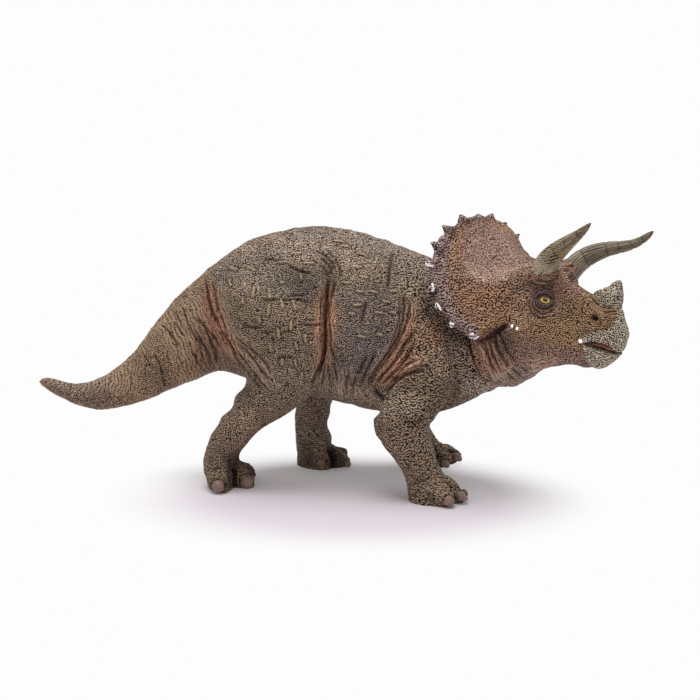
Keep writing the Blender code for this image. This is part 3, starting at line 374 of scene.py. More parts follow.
# Folds on the near side: points in pixels of the photograph, half width, depth
FOLD_PIXELS = (
    # Root of the tail
    (((205, 274), (206, 288), (209, 303), (214, 318), (222, 331), (229, 343), (236, 355), (241, 366),
      (249, 379)), 0.0008, 0.0011),
    (((212, 279), (214, 290), (217, 306), (223, 322), (230, 338)), 0.0005, 0.0005),
    (((196, 315), (204, 326), (214, 337), (221, 349)), 0.0005, 0.0006),
    (((203, 326), (209, 337), (215, 349), (219, 362)), 0.0006, 0.0007),
    (((198, 334), (204, 345), (209, 355), (213, 366)), 0.0005, 0.0005),
    (((182, 304), (185, 314), (189, 326), (195, 337), (200, 344), (205, 352)), 0.0004, 0.0005),
    (((175, 312), (178, 319), (182, 326)), 0.0003, 0.0003),
    (((174, 321), (179, 329), (183, 337)), 0.0003, 0.0004),
    (((161, 324), (169, 332), (175, 341), (180, 349)), 0.0004, 0.0005),
    (((141, 351), (146, 358), (150, 365), (153, 370)), 0.0003, 0.0004),
    (((154, 355), (159, 363), (162, 372), (164, 381), (165, 388)), 0.0004, 0.0005),
    (((166, 354), (170, 363)), 0.0003, 0.0003),
    (((177, 354), (180, 361), (182, 369)), 0.0003, 0.0003),
    (((185, 357), (187, 367), (188, 377)), 0.0003, 0.0004),
    (((192, 349), (196, 357), (198, 367)), 0.0003, 0.0004),
    (((198, 344), (202, 356), (205, 365)), 0.0003, 0.0004),
    (((109, 390), (111, 400)), 0.0003, 0.0003),
    (((126, 391), (135, 402)), 0.0003, 0.0003),
    (((147, 357), (157, 357)), 0.0003, 0.0003),
    # Rear of the thigh
    (((234, 335), (244, 344), (254, 353), (264, 362), (273, 374)), 0.0004, 0.0004),
    (((236, 341), (245, 350), (254, 360), (262, 371), (272, 384)), 0.0005, 0.0005),
    (((235, 348), (243, 358), (251, 369), (260, 381), (270, 392)), 0.0005, 0.0006),
    (((240, 362), (247, 371), (255, 381), (264, 390)), 0.0005, 0.0006),
    (((244, 341), (252, 348), (261, 356), (268, 364)), 0.0003, 0.0003),
    # Dark cracks across the haunch
    (((258, 302), (268, 300), (284, 300), (300, 300), (312, 303)), 0.0004, 0.0004),
    (((287, 296), (295, 296), (305, 295)), 0.0004, 0.0004),
    (((260, 332), (268, 333), (275, 332)), 0.0004, 0.0003),
    (((281, 333), (286, 332), (292, 331)), 0.0004, 0.0004),
    (((279, 356), (285, 358), (293, 357)), 0.0004, 0.0004),
    (((240, 324), (250, 327), (263, 328)), 0.0004, 0.0003),
    (((297, 323), (306, 325), (316, 325), (325, 324)), 0.0004, 0.0005),
    (((303, 320), (310, 320), (317, 320)), 0.0003, 0.0003),
    (((286, 264), (294, 269), (302, 272), (313, 274)), 0.0005, 0.0005),
    (((262, 261), (270, 259), (278, 261)), 0.0004, 0.0003),
    # Groove in front of the haunch, and the ridges that curl over its top
    (((330, 270), (329, 280), (327, 292), (326, 306), (325, 320), (325, 334), (325, 348), (323, 360),
      (319, 370), (314, 382), (310, 393)), 0.0007, 0.0015),
    (((334, 272), (335, 281), (333, 291), (330, 302), (329, 316), (330, 332), (331, 348), (335, 360),
      (341, 369)), 0.0005, 0.0006),
    (((317, 251), (326, 256), (333, 264), (336, 272)), 0.0004, 0.0005),
    (((319, 257), (326, 262), (331, 269), (331, 277)), 0.0004, 0.0005),
    (((326, 250), (335, 258), (340, 268), (340, 280)), 0.0004, 0.0004),
    (((318, 264), (325, 270), (329, 278)), 0.0004, 0.0004),
    (((322, 290), (321, 304), (321, 320), (321, 336), (321, 350)), 0.0004, 0.0005),
    (((326, 360), (324, 372), (322, 384), (318, 394)), 0.0004, 0.0004),
    (((328, 362), (329, 374), (331, 388)), 0.0004, 0.0004),
    (((332, 360), (336, 372), (338, 386)), 0.0004, 0.0004),
    # Behind the shoulder
    (((402, 284), (404, 296), (404, 308), (403, 320), (399, 333), (393, 345), (386, 356), (378, 367),
      (371, 379), (367, 390)), 0.0006, 0.0008),
    (((408, 294), (410, 306), (408, 319), (403, 332), (397, 344), (390, 355), (382, 366), (374, 377)),
     0.0006, 0.0008),
    (((418, 325), (411, 336), (404, 346), (399, 356), (391, 366), (382, 376), (374, 385)),
     0.0006, 0.0008),
    (((416, 343), (410, 351), (405, 360), (398, 369), (389, 377), (382, 386)), 0.0006, 0.0009),
    (((420, 359), (411, 362), (403, 368), (396, 377), (388, 385)), 0.0005, 0.0007),
    (((426, 370), (415, 371), (406, 374), (398, 379), (390, 387), (384, 394)), 0.0008, 0.0013),
    (((431, 366), (421, 366), (412, 367)), 0.0004, 0.0005),
    (((399, 292), (400, 306), (399, 320), (395, 333), (388, 346)), 0.0004, 0.0004),
    (((372, 388), (376, 393), (381, 397), (384, 402)), 0.0010, 0.0012),
    # Faint ribs and loose skin of the flank
    (((394, 250), (391, 262), (389, 276), (388, 292)), 0.0006, 0.0004),
    (((367, 300), (364, 312), (361, 324)), 0.0006, 0.0004),
    (((368, 354), (363, 364), (358, 376)), 0.0006, 0.0005),
    (((378, 350), (371, 362), (365, 374), (361, 387)), 0.0006, 0.0005),
    (((349, 372), (346, 384), (347, 397)), 0.0006, 0.0005),
    (((357, 374), (353, 386), (352, 398)), 0.0006, 0.0004),
    # Neck
    (((470, 338), (474, 350), (478, 362), (483, 373), (489, 385)), 0.0009, 0.0013),
    # Ankle
    (((207, 468), (214, 469.5), (222, 467.5)), 0.0004, 0.0005),
    (((221, 458), (229, 461.5), (238, 458)), 0.0004, 0.0004),
    (((222, 463.5), (230, 466.5), (239, 462.5)), 0.0004, 0.0004),
    (((224, 468.5), (231, 471.5), (238, 467)), 0.0004, 0.0004),
    (((228, 471), (228.5, 478), (229, 487)), 0.0006, 0.0008),
    # Wrist and elbow
    (((410, 483), (419, 482), (427, 479), (433, 475)), 0.0004, 0.0004),
    (((412, 478), (420, 476), (428, 472)), 0.0003, 0.0003),
    (((404, 421), (412, 422), (420, 421), (427, 418)), 0.0004, 0.0004),
    (((406, 426), (414, 427), (422, 425)), 0.0003, 0.0003),
)
HEAD_FOLD_PIXELS = (
    # Under the frill's lower corner
    (((474, 343), (480, 341), (488, 338), (496, 333), (503, 328), (508, 322)), 0.0008, 0.0013),
    # Back of the jaw and the throat
    (((484, 338), (486, 350), (490, 362), (496, 374)), 0.0006, 0.0010),
    (((489, 337), (491, 349), (495, 360), (502, 374)), 0.0005, 0.0009),
    (((495, 333), (496, 345), (501, 356), (509, 368)), 0.0006, 0.0010),
    (((500, 330), (503, 342), (509, 354), (518, 364)), 0.0004, 0.0006),
    (((505, 371), (512, 378), (519, 382)), 0.0004, 0.0006),
    (((512, 368), (519, 375), (526, 379)), 0.0004, 0.0006),
    (((519, 366), (526, 371), (533, 374)), 0.0004, 0.0005),
    # Collars round the brow horns
    (((523, 270), (529, 277), (538, 281), (547, 282), (554, 280), (559, 274), (560, 266)),
     0.0004, 0.0005),
    (((525, 277), (533, 283), (543, 286), (552, 285), (559, 281)), 0.0004, 0.0004),
    (((560, 268), (566, 271), (572, 276), (577, 280)), 0.0005, 0.0008),
    # Round the eye
    (((531, 292), (536, 288), (543, 287), (550, 289), (555, 294)), 0.0003, 0.0004),
    (((534, 301), (538, 296), (545, 294), (551, 297), (554, 301)), 0.0003, 0.0005),
    (((534, 303), (539, 308), (546, 309), (552, 306), (555, 302)), 0.0003, 0.0005),
    (((531, 303), (535, 310), (542, 314), (550, 312), (556, 307)), 0.0003, 0.0004),
    (((529, 297), (529, 306), (533, 314), (541, 318), (550, 317)), 0.0003, 0.0003),
    # Under the nose horn
    (((592, 297), (596, 303), (603, 307), (612, 308), (619, 306)), 0.0004, 0.0006),
    (((603, 313), (610, 312), (617, 311)), 0.0003, 0.0003),
)
DENT_PIXELS = (
    ((593.6, 317.2), 0.0008, 0.0011), ((595.4, 318.3), 0.0008, 0.0011),
)
DENT_STEP_PIXELS = (0.5, 0.3)
BAR_PIXELS = (
    ((248, 267), (255, 270)), ((279, 262), (286, 262)), ((292, 253), (300, 253)),
    ((304, 263), (313, 263)), ((343, 282), (349, 283)), ((341, 246), (348, 246)),
    ((357, 253), (366, 256)), ((352, 267), (361, 267)), ((360, 276), (367, 278)),
    ((357, 291), (363, 292)), ((371, 291), (377, 293)), ((390, 291), (396, 291)),
    ((383, 301), (389, 302)), ((354, 305), (361, 305)), ((375, 312), (382, 313)),
    ((349, 313), (354, 314)), ((390, 312), (395, 313)), ((377, 334), (383, 335)),
    ((358, 336), (364, 337)), ((335, 241), (343, 242)), ((262, 245), (269, 243)),
    ((230, 268), (236, 270)), ((229, 280), (231, 286)), ((254, 288), (253, 296)),
    ((269, 289), (270, 298)), ((281, 282), (284, 283)), ((301, 274), (301, 279)),
    ((293, 301), (295, 309)), ((269, 305), (268, 315)), ((281, 300), (283, 307)),
    ((278, 329), (279, 338)), ((295, 343), (297, 349)), ((282, 359), (282, 365)),
    ((295, 360), (296, 366)), ((258, 317), (260, 322)), ((291, 322), (291, 329)),
    ((243, 299), (243, 303)), ((305, 335), (306, 342)), ((270, 344), (271, 351)),
)
BAR_RADIUS = 0.00045
BAR_HEIGHT = 0.00035
BAR_PLAIN_SHARE = 0.58
MOAT_WIDTH_SHARE = 0.6
MOAT_DEPTH_SHARE = 0.4
MOAT_CREASE_SHARE = 0.55

TONGUE_PIXELS = ((584, 345.2), (590, 345.6), (598, 347.2), (606, 349.6), (612, 351.6))
TONGUE_WIDTHS = (0.0052, 0.0048, 0.0042, 0.0034, 0.0012)
TONGUE_THICKNESS = 0.0009
TONGUE_LUMP_WAVE = 0.0016
TONGUE_LUMP_HEIGHT = 0.00012
NAIL_LEVEL = 0.0032
NAIL_RADII = (0.0018, 0.0021, 0.0018)
HIDDEN_NAILS_FROM = 2
NAIL_REACH = 0.93
# Toes that the picture shows, from root to tip: across, down and radius, in pixels
TOE_PIXELS = (
    ((214, 469, 7.5), (217.6, 482.4, 9.8)), ((237, 470, 6.2), (245.6, 480.0, 7.4)),
    ((242, 466, 4.8), (249.6, 472.6, 5.4)), ((439, 488, 8.0), (446.6, 499.6, 7.4)),
    ((446, 483, 8.0), (458.0, 494.6, 5.4)), ((319.4, 448, 5.4), (321.2, 462.4, 4.2)),
    ((334, 453, 5.4), (345.2, 461.4, 4.8)), ((436, 453, 6.0), (444.0, 461.6, 4.4)),
    ((446, 449, 6.0), (454.6, 455.2, 4.8)),
)
TOE_SINK_SHARE = 0.8
TOE_BALLS = 7
# Nails on them: foot, then across, down and radius from root to tip
NAIL_PIXELS = (
    ("hindleg_right", ((218.4, 486.2, 6.5), (218.5, 486.4, 6.5))),
    ("hindleg_right", ((246.4, 480.6, 6.2), (246.6, 482.4, 6.8))),
    ("foreleg_right", ((448.5, 501.0, 5.4), (448.8, 501.4, 5.4))),
    ("foreleg_right", ((460.8, 496.0, 5.0), (466.4, 498.6, 1.8))),
    ("hindleg_left", ((321.5, 462.6, 4.0), (321.9, 468.0, 1.6))),
    ("hindleg_left", ((347.2, 463.0, 3.6), (347.8, 464.0, 3.4))),
    ("foreleg_left", ((444.8, 463.2, 4.4), (447.4, 465.4, 2.6))),
    ("foreleg_left", ((455.8, 457.0, 4.2), (459.4, 458.6, 2.9))),
)
NAIL_SINK_SHARE = 0.45
NAIL_BALLS = 5
NAIL_VOXEL = 0.00022
NAIL_SMOOTHING_STEPS = 2
NAIL_LUMP_WAVE = 0.0025
NAIL_LUMP_HEIGHT = 0.00005
# The front of the near hind sole stands back from here, beside its outer toe
SOLE_STEP_PIXELS = (226.5, 231.0)
SOLE_STEP_HEIGHTS = (0.0150, 0.0070)
SOLE_STEP_SHARE = 0.85

# Moves of the skin on the picture: centre, radius and shift, in pixels
NEAR_BODY_MOVES = (
    (228, 408, 17, 5, 0), (243, 455, 14, -5, 0), (213, 426, 18, 4, 0), (207, 444, 14, 2, 0),
    (259, 478, 13, -6, 0), (373, 411, 9, 7, 0), (373, 437, 9, -4, 0), (457, 483, 11, -1, 8),
)
FAR_BODY_MOVES = (
    (332, 406, 12, -3, 0), (331, 424, 16, -4, 0), (337, 443, 11, -4, 2), (347, 455, 8, -2, 0),
    (453, 446, 11, -2, 8), (457, 462, 8, -2, 0), (446, 445, 9, -1, 3),
)
FRILL_MOVES = (
    (440, 246, 26, -4, -2),
)
FAR_FRILL_MOVES = (
    (510, 232, 24, 4, -3),
)
FAR_HEAD_MOVES = (
    (584, 279, 15, -6, 0),
)
HEAD_MOVES = (
    (583, 276, 16, -5.5, 0), (592, 294, 15, -2, -8), (581, 280, 13, -5, 0), (627, 333, 15, 3, 0),
    (592, 367, 10, 0, -2),
)

# Wrinkles that run along a line: points, reach and spacing, in pixels
FLOW_PIXELS = (
    (((60, 375), (40, 400)), 110, 3.6),
    (((175, 300), (195, 345), (210, 385)), 36, 3.8),
    (((212, 278), (219, 318), (240, 362)), 14, 3.0),
    (((234, 338), (254, 360), (274, 392)), 11, 3.6),
    (((327, 285), (325, 320), (325, 352), (322, 372), (316, 395)), 13, 2.8),
    (((342, 368), (348, 400)), 12, 3.4),
    (((410, 296), (404, 332), (390, 355), (372, 382)), 13, 3.2),
    (((425, 366), (408, 366), (396, 376), (384, 390)), 10, 3.0),
)
HEAD_FLOW_PIXELS = (
    (((487, 338), (493, 360), (505, 380)), 14, 3.2),
    (((544, 300), (545, 300)), 20, 2.9),
    (((524, 270), (535, 280), (547, 283), (557, 277)), 7, 2.6),
    (((592, 300), (604, 309), (620, 308)), 8, 2.6),
    (((528, 366), (560, 362)), 10, 3.4),
)
FLOW_CORE_SHARE = 0.55
FLOW_END_SHARE = 0.12

# The frill's dish and its raised lower rim, on the side that faces ahead
FRILL_FRONT_SHARES = (0.2, -0.2)
FRILL_FEATHER = 8
FRILL_PEBBLE_SHARE = 0.8
DISH_FEATHER = 7
DISH_DEPTH = 0.0009
DISH_CENTRE_PIXELS = ((505, 250), (506, 250))
DISH_SPACING_PIXELS = 3.0
DISH_FLOW_SHARE = 0.35
DISH_PLAIN_SHARE = 0.31
DISH_PEBBLE_SHARE = 0.5
LOW_DISH_FEATHER = 9
LOW_DISH_PLAIN_SHARE = 0.07
RIM_PIXELS = (
    (463, 262), (466, 273), (474, 281), (486, 284), (498, 284), (510, 280), (524, 273),
)
RIM_WIDTH = 4
RIM_HEIGHT = 0.0005

# Soft patches of paint over the trunk, as outlines in pixels: colour, feather, strength
BODY_PATCH_PIXELS = (
    (((30, 370), (30, 420), (110, 430), (112, 370)), (0.118, 0.086, 0.069), 18, 0.8),
    (((215, 262), (300, 222), (360, 226), (436, 252), (430, 282), (385, 268), (330, 256),
      (280, 264), (238, 282), (218, 290)), (0.170, 0.128, 0.100), 10, 0.9),
    # Painted highlight along the ridge over the top of the haunch
    (((240, 286), (262, 266), (292, 262), (316, 268), (300, 276), (268, 276), (246, 296)),
     (0.180, 0.135, 0.101), 6, 0.5),
    # Painted shade below that ridge
    (((255, 278), (298, 270), (322, 280), (324, 300), (290, 298), (262, 298)),
     (0.108, 0.088, 0.070), 7, 0.7),
    (((338, 290), (395, 285), (402, 320), (385, 365), (345, 392), (330, 385), (334, 340)),
     (0.143, 0.109, 0.090), 9, 0.8),
    (((350, 330), (385, 325), (390, 350), (370, 372), (350, 365)), (0.105, 0.088, 0.080), 9, 0.6),
    (((195, 320), (212, 335), (240, 366), (214, 378), (190, 365)), (0.120, 0.068, 0.038), 8, 0.65),
    (((204, 284), (214, 286), (224, 318), (235, 343), (242, 362), (226, 350), (210, 334),
      (203, 312)), (0.200, 0.090, 0.054), 7, 0.8),
    (((320, 288), (332, 288), (338, 316), (334, 344), (326, 366), (317, 366), (315, 330)),
     (0.262, 0.128, 0.076), 7, 0.75),
    (((323, 294), (328, 294), (327, 356), (322, 366), (322, 330)), (0.050, 0.022, 0.014), 2.5, 0.6),
    (((410, 308), (418, 335), (412, 352), (424, 364), (402, 377), (386, 386), (374, 386),
      (385, 362), (399, 338), (404, 318)), (0.245, 0.125, 0.078), 7, 0.8),
    (((418, 296), (432, 318), (424, 350), (408, 346), (412, 318)), (0.118, 0.074, 0.050), 7, 0.6),
    # Painted shadow that the frill casts on the shoulder and neck
    (((424, 296), (440, 322), (470, 340), (500, 330), (500, 352), (480, 356), (455, 356),
      (436, 340), (424, 315)), (0.044, 0.031, 0.023), 6, 0.85),
    # Painted shade in the crease behind the elbow
    (((372, 386), (386, 388), (390, 402), (376, 408)), (0.042, 0.028, 0.022), 4, 0.85),
    (((400, 380), (440, 352), (470, 372), (478, 392), (440, 412), (400, 430)),
     (0.098, 0.067, 0.041), 9, 0.6),
    (((255, 340), (315, 340), (312, 392), (262, 395)), (0.174, 0.128, 0.090), 10, 0.7),
    (((432, 342), (468, 345), (468, 378), (434, 380)), (0.190, 0.134, 0.100), 7, 0.7),
    (((416, 316), (438, 320), (450, 344), (430, 352), (412, 346)), (0.240, 0.140, 0.085), 7, 0.6),
    (((338, 252), (396, 256), (404, 280), (345, 282)), (0.200, 0.148, 0.108), 9, 0.7),
    (((335, 385), (420, 395), (420, 420), (300, 410)), (0.250, 0.190, 0.138), 8, 0.75),
)
# Patches on the legs of one side only, -1 for the near side and 1 for the far side
LEG_PATCH_PIXELS = (
    (-1, ((392, 390), (454, 390), (452, 424), (396, 422)), (0.095, 0.066, 0.042), 7, 0.6),
    (-1, ((202, 418), (258, 404), (246, 440), (236, 456), (206, 462), (200, 440)),
     (0.200, 0.142, 0.096), 6, 0.55),
    (1, ((300, 400), (330, 400), (334, 440), (322, 460), (300, 455)), (0.180, 0.130, 0.096), 5, 0.4),
    # Painted shade between and beside the near hind foot's toes, in this patch and the next
    (-1, ((224, 455), (240, 452), (244, 464), (238, 474), (237, 487), (227, 487), (227, 472)),
     (0.034, 0.023, 0.020), 4, 0.8),
    (-1, ((245, 464), (255, 466), (256, 480), (250, 474), (242, 472)), (0.070, 0.040, 0.033), 3, 0.7),
    (-1, ((206, 458), (224, 458), (226, 478), (210, 482)), (0.150, 0.103, 0.070), 4, 0.5),
    # Painted shade behind the near fore foot's first toe
    (-1, ((427, 492), (433, 492), (435, 502), (429, 503)), (0.030, 0.022, 0.020), 2, 0.8),
    (-1, ((408, 486), (428, 488), (428, 503), (410, 502)), (0.150, 0.105, 0.062), 4, 0.5),
    # Painted shade between the far hind foot's toes
    (1, ((326, 438), (336, 448), (344, 458), (342, 468), (328, 469)), (0.032, 0.024, 0.022), 3, 0.7),
    (1, ((314, 440), (325, 438), (327, 462), (317, 462)), (0.190, 0.135, 0.092), 3, 0.7),
    # Painted shade between the far hind foot's toes
    (1, ((302, 442), (312, 442), (315, 467), (303, 467)), (0.050, 0.038, 0.032), 4, 0.6),
    (1, ((302, 400), (318, 400), (312, 436), (300, 440)), (0.180, 0.145, 0.115), 5, 0.5),
    # Painted shade beside the far fore foot's toes
    (1, ((428, 440), (438, 448), (442, 460), (436, 468), (428, 462)), (0.042, 0.031, 0.028), 4, 0.7),
)
# Patches that the neck's two sides of its seam share
NECK_PATCH_PIXELS = (
    (((472, 340), (484, 336), (497, 358), (507, 376), (500, 392), (484, 392), (474, 360)),
     (0.270, 0.158, 0.110), 6, 0.65),
    (((462, 376), (500, 374), (520, 366), (540, 368), (520, 384), (490, 392), (462, 396)),
     (0.245, 0.210, 0.165), 6, 0.6),
)
HEAD_PATCH_PIXELS = (
    (((420, 200), (540, 200), (540, 270), (510, 325), (476, 345), (420, 340)),
     (0.170, 0.095, 0.062), 8, 0.9),
    (((463, 270), (470, 278), (482, 282), (496, 282), (507, 279), (519, 273), (531, 266),
      (528, 250), (517, 238), (506, 226), (493, 217), (478, 215), (465, 222), (457, 238)),
     (0.172, 0.106, 0.082), 6, 0.95),
    (((466, 262), (490, 266), (516, 262), (530, 262), (520, 272), (497, 281), (478, 280), (468, 274)),
     (0.264, 0.172, 0.134), 7, 0.8),
    (((455, 226), (470, 219), (466, 240), (462, 262), (452, 268), (450, 245)),
     (0.220, 0.118, 0.070), 4, 0.7),
    (((420, 225), (446, 225), (452, 240), (446, 262), (448, 290), (456, 310), (468, 324),
      (486, 326), (474, 348), (430, 330)), (0.174, 0.124, 0.114), 5, 0.85),
    (((440, 205), (530, 205), (542, 262), (530, 262), (518, 236), (496, 221), (470, 219),
      (446, 236)), (0.094, 0.061, 0.055), 3, 0.75),
    (((455, 284), (476, 286), (505, 286), (516, 290), (508, 312), (480, 318), (460, 306)),
     (0.209, 0.106, 0.056), 7, 0.7),
    (((480, 324), (500, 316), (505, 322), (490, 333), (478, 338)), (0.260, 0.148, 0.060), 4, 0.7),
    (((508, 272), (530, 266), (560, 280), (562, 292), (530, 290), (505, 300)),
     (0.118, 0.070, 0.045), 6, 0.7),
    (((556, 268), (575, 270), (582, 290), (566, 300), (556, 288)), (0.223, 0.127, 0.093), 5, 0.8),
    (((560, 300), (590, 292), (622, 305), (612, 330), (585, 334), (562, 330)),
     (0.180, 0.107, 0.056), 6, 0.7),
    (((510, 308), (530, 322), (560, 318), (582, 336), (578, 350), (545, 346), (512, 335)),
     (0.235, 0.141, 0.074), 8, 0.7),
    (((552, 318), (580, 322), (580, 352), (562, 346)), (0.255, 0.165, 0.075), 7, 0.5),
    (((500, 346), (540, 344), (582, 350), (584, 364), (540, 368), (505, 372)),
     (0.208, 0.135, 0.101), 6, 0.7),
    # Painted shadow under the frill's lower corner
    (((488, 328), (503, 324), (512, 336), (514, 352), (503, 356), (492, 344)),
     (0.095, 0.063, 0.048), 5, 0.85),
)
# The first patches are the frill's, and stay off the far side of the neck
FRILL_PATCHES = 8
FRILL_REACH = 0.0045
FRILL_CHECK_SHARES = (0.3, 1.0)
FRILL_CHECK_RINGS = 9
EYE_PATCH_PIXELS = (544, 299, 15.5, 14.5)
EYE_PATCH_SHARES = (1.1, 0.6)
EYE_PATCH_STRENGTH_SHARE = 0.9
EYE_PIXEL = (545.2, 300.2)
EYE_RADII = (0.0018, 0.00108, 0.0007)
EYE_SINK = 0.0002
EYE_DETAIL = 5
EYE_VIEW_SHARE = 0.8
EYE_LEAN_SHARE = -0.12
IRIS_EDGE_SHARES = (0.97, 0.88)
PUPIL_EDGE_SHARES = (0.56, 0.48)
BEAK_FEATHER = 0.8
BEAK_HEIGHT = 0.0003
BEAK_OUTLINE_PIXELS = (
    (624, 304), (620, 308), (616, 318), (612, 328), (605, 331), (597, 331), (588, 334), (581, 339),
    (582, 343), (584, 352), (586, 360), (592, 366), (602, 372), (612, 372), (640, 360), (640, 304),
)
UPPER_LIP_PIXELS = ((621, 355.6), (616, 352), (611, 347.2), (603, 343.4), (592, 341.2), (582, 343.5))
LOWER_LIP_PIXELS = ((621, 356.4), (616, 355), (607, 353.4), (597, 350.6), (587, 347), (582, 344))
JAW_REAR_PIXELS = ((580, 350), (578, 357), (577, 362))
WHITE_BUMP_PIXELS = ((580.5, 341, 2.0), (512, 326, 1.6), (517, 328.5, 1.3))
PIXELS_PER_MILLIMETRE = 2.79
BUMP_STEP_PIXELS = 0.4
BUMP_REACH = 0.003
BUMP_HEIGHT_SHARE = 0.7
BUMP_PLAIN_SHARES = (0, 0.3)
BUMP_PAINT_MARGINS = (0.8, 0.4)
BUMP_PLAIN_LEVEL = 0.2
STUD_PIXELS = (
    (520, 234), (507, 222), (493, 213), (479, 213), (460, 214), (442, 225), (430, 242),
    (425, 263), (428, 288), (435, 308), (450, 327), (474, 339),
)
WHITE_STUDS = 5
WHITE_STUD_PIXELS = ((427.5, 263), (430.6, 287.5), (437, 308), (450.5, 325), (473, 336))
WHITE_EDGE_PIXELS = (
    ((426.8, 258.8), (424.4, 263.8), (428, 265.4), (432, 265.8)), ((425.4, 267), (428.4, 271.4)),
    ((429.8, 283), (427.3, 287), (428.4, 291.4), (431.6, 292.2), (433.8, 288.6), (432.6, 284)),
    ((435.4, 302.6), (434.6, 308), (438, 311.8), (441.2, 314.4)), ((437.2, 303.6), (440.6, 309.6)),
    ((447.6, 322.8), (450.2, 326.4), (454, 328.8)), ((448.6, 322.6), (453.4, 324)),
    ((467.4, 334.8), (471.4, 337.4), (474.6, 339.4), (478, 336.8)), ((470, 334.6), (473.6, 333.4)),
)
# Paint of the studs: outer and inner reach, in pixels, then in metres for the mirrored ones
WHITE_STUD_REACH = (5.0, 3.2)
WHITE_STUD_SHARE = 0.9
WHITE_EDGE_REACH = (1.3, 0.5)
WHITE_PLAIN_SHARE = 0.6
STUD_REACH = (5.0, 2.0)
STUD_SHARE = 0.5
MIRRORED_STUD_REACH = (0.0022, 0.0014)
MIRRORED_STUD_SHARE = 0.8
MIRRORED_EDGE_REACH = (0.0013, 0.0008)
FACING_SHARES = (-0.2, 0.1)

# Horns as the photograph shows them: centre line and radius, in pixels
NEAR_HORN_PIXELS = (
    (542.5, 276, 12.6), (543.5, 270, 12.7), (549, 260, 11.4), (557.5, 251, 9.7), (567.5, 243, 7.5),
    (577, 235.8, 5.3), (584.4, 229.4, 3.6), (589.5, 224.5, 1.6), (590.6, 223.6, 0.5),
)
FAR_HORN_PIXELS = (
    (567.5, 275, 10.8), (571.5, 270, 10.8), (578, 263, 10.6), (586.5, 257, 10.0), (597, 252.2, 8.9),
    (609, 248.8, 7.4), (622, 246.8, 6.0), (634, 243.8, 4.8), (643, 239.2, 3.9), (649.4, 234.6, 2.8),
    (652.3, 232.1, 1.3), (653.2, 231.6, 0.4),
)
NEAR_COLLAR_PIXELS = ((541, 288, 11.0), (542, 280, 14.6), (543.2, 273, 14.2), (543.6, 270, 13.0))
FAR_COLLAR_PIXELS = ((560, 282, 9.0), (565, 274, 12.0), (569, 268, 11.6), (570, 266.5, 10.6))
NEAR_HORN_CRACKS = (0.40, 0.52, 0.66)
FAR_HORN_CRACKS = (0.26, 0.44, 0.53, 0.62, 0.71)
HORN_STREAKS = 21
HORN_STREAK_CHANGES = 6
HORN_BASE_SHARES = (0.34, 0.12)
HORN_TIP_SHARES = (0.70, 1.0)
HORN_END_SHARES = (1.0, 0.93)
CRACK_SWAY_WAVE = 0.006
CRACK_SWAY_SHARE = 0.006
CRACK_WIDTH_SHARE = 0.006
CRACK_DEPTH = 0.00025
CRACK_CREASE_SHARE = 0.85
# Nose horn: height on the picture, back and front edge, in pixels
NOSE_HORN_PIXELS = (
    (311, 598, 619.5), (304, 596, 621), (298, 594.5, 621.6), (293, 596.5, 622), (290, 602, 622),
    (287.5, 608.5, 622), (284, 612.6, 621.8), (281.5, 615.4, 621.2), (280.2, 617.8, 620.2),
)
NOSE_HORN_TURN_SHARE = 0.839
NOSE_HORN_WIDTH_SHARE = 0.62
NOSE_HORN_FLOW_WAVE = 0.0022
NOSE_HORN_LUMP_WAVE = 0.0014
NOSE_HORN_LUMP_HEIGHT = 0.00012
NOSE_HORN_CREASE_SHARE = 0.5
NOSE_HORN_CREASE_LEVELS = (0.3, 1.2)

# The floor's shadow fades to white at these reaches. Painted shadow darkens the paper towards the
# front, between two places in depth, and painted light, a white glow, lifts the shadow behind the
# figure
SHADOW_MIDDLE = (0.008, -0.022, 0.0)
SHADOW_REACH = (0.090, 0.068, 1.0)
SHADOW_FADE_SHARES = (0.50, 1.0)
PAINTED_LIGHT_BEHIND = 0.12
PAINTED_SHADOW_PLACES = (-0.040, 0.002)
PAINTED_SHADOW_STOPS = ((0.0, (0.70, 0.64, 0.69)), (1.0, (0.95, 0.89, 0.94)))
FLOOR_SIZE = 8.0
FLOOR_ROUGHNESS = 0.9

# Light
WHITE_LEVEL = (0.98, 0.98, 0.98, 1.0)
SURROUND_LIGHT = 0.55
LAMP_SIZE = 0.7
LAMP_POWER = 7.0
LAMP_PLACE = (-0.02, 0.02, 0.95)
LAMP_AIM = (0, 0, 0.04)
CLIP_RANGE = (0.01, 50.0)

# Paint, linear
HIDE_COLOUR = (0.154, 0.112, 0.076)
HIDE_TAIL_COLOUR = (0.184, 0.123, 0.076)
HIDE_LEG_COLOUR = (0.143, 0.101, 0.068)
HEAD_COLOUR = (0.175, 0.106, 0.068)
BAR_COLOUR = (0.240, 0.176, 0.100)
BEAK_COLOUR = (0.278, 0.241, 0.178)
EYE_RING_COLOUR = (0.060, 0.042, 0.038)
DARK_COLOUR = (0.020, 0.014, 0.012)
WHITE_COLOUR = (0.80, 0.78, 0.76)
STUD_COLOUR = (0.300, 0.255, 0.250)
NAIL_COLOUR = (0.250, 0.155, 0.120)
HORN_COLOUR = (0.242, 0.188, 0.112)
HORN_BASE_COLOUR = (0.352, 0.301, 0.212)
HORN_TIP_COLOUR = (0.150, 0.105, 0.064)
NOSE_HORN_COLOUR = (0.250, 0.213, 0.160)
# Painted shade: the far brow horn's paint is darkened by this share
FAR_HORN_PAINTED_SHADE = 0.62
EYE_COLOUR = (0.82, 0.70, 0.10)
PUPIL_COLOUR = (0.050, 0.018, 0.012)
TONGUE_COLOUR = (0.420, 0.180, 0.150)
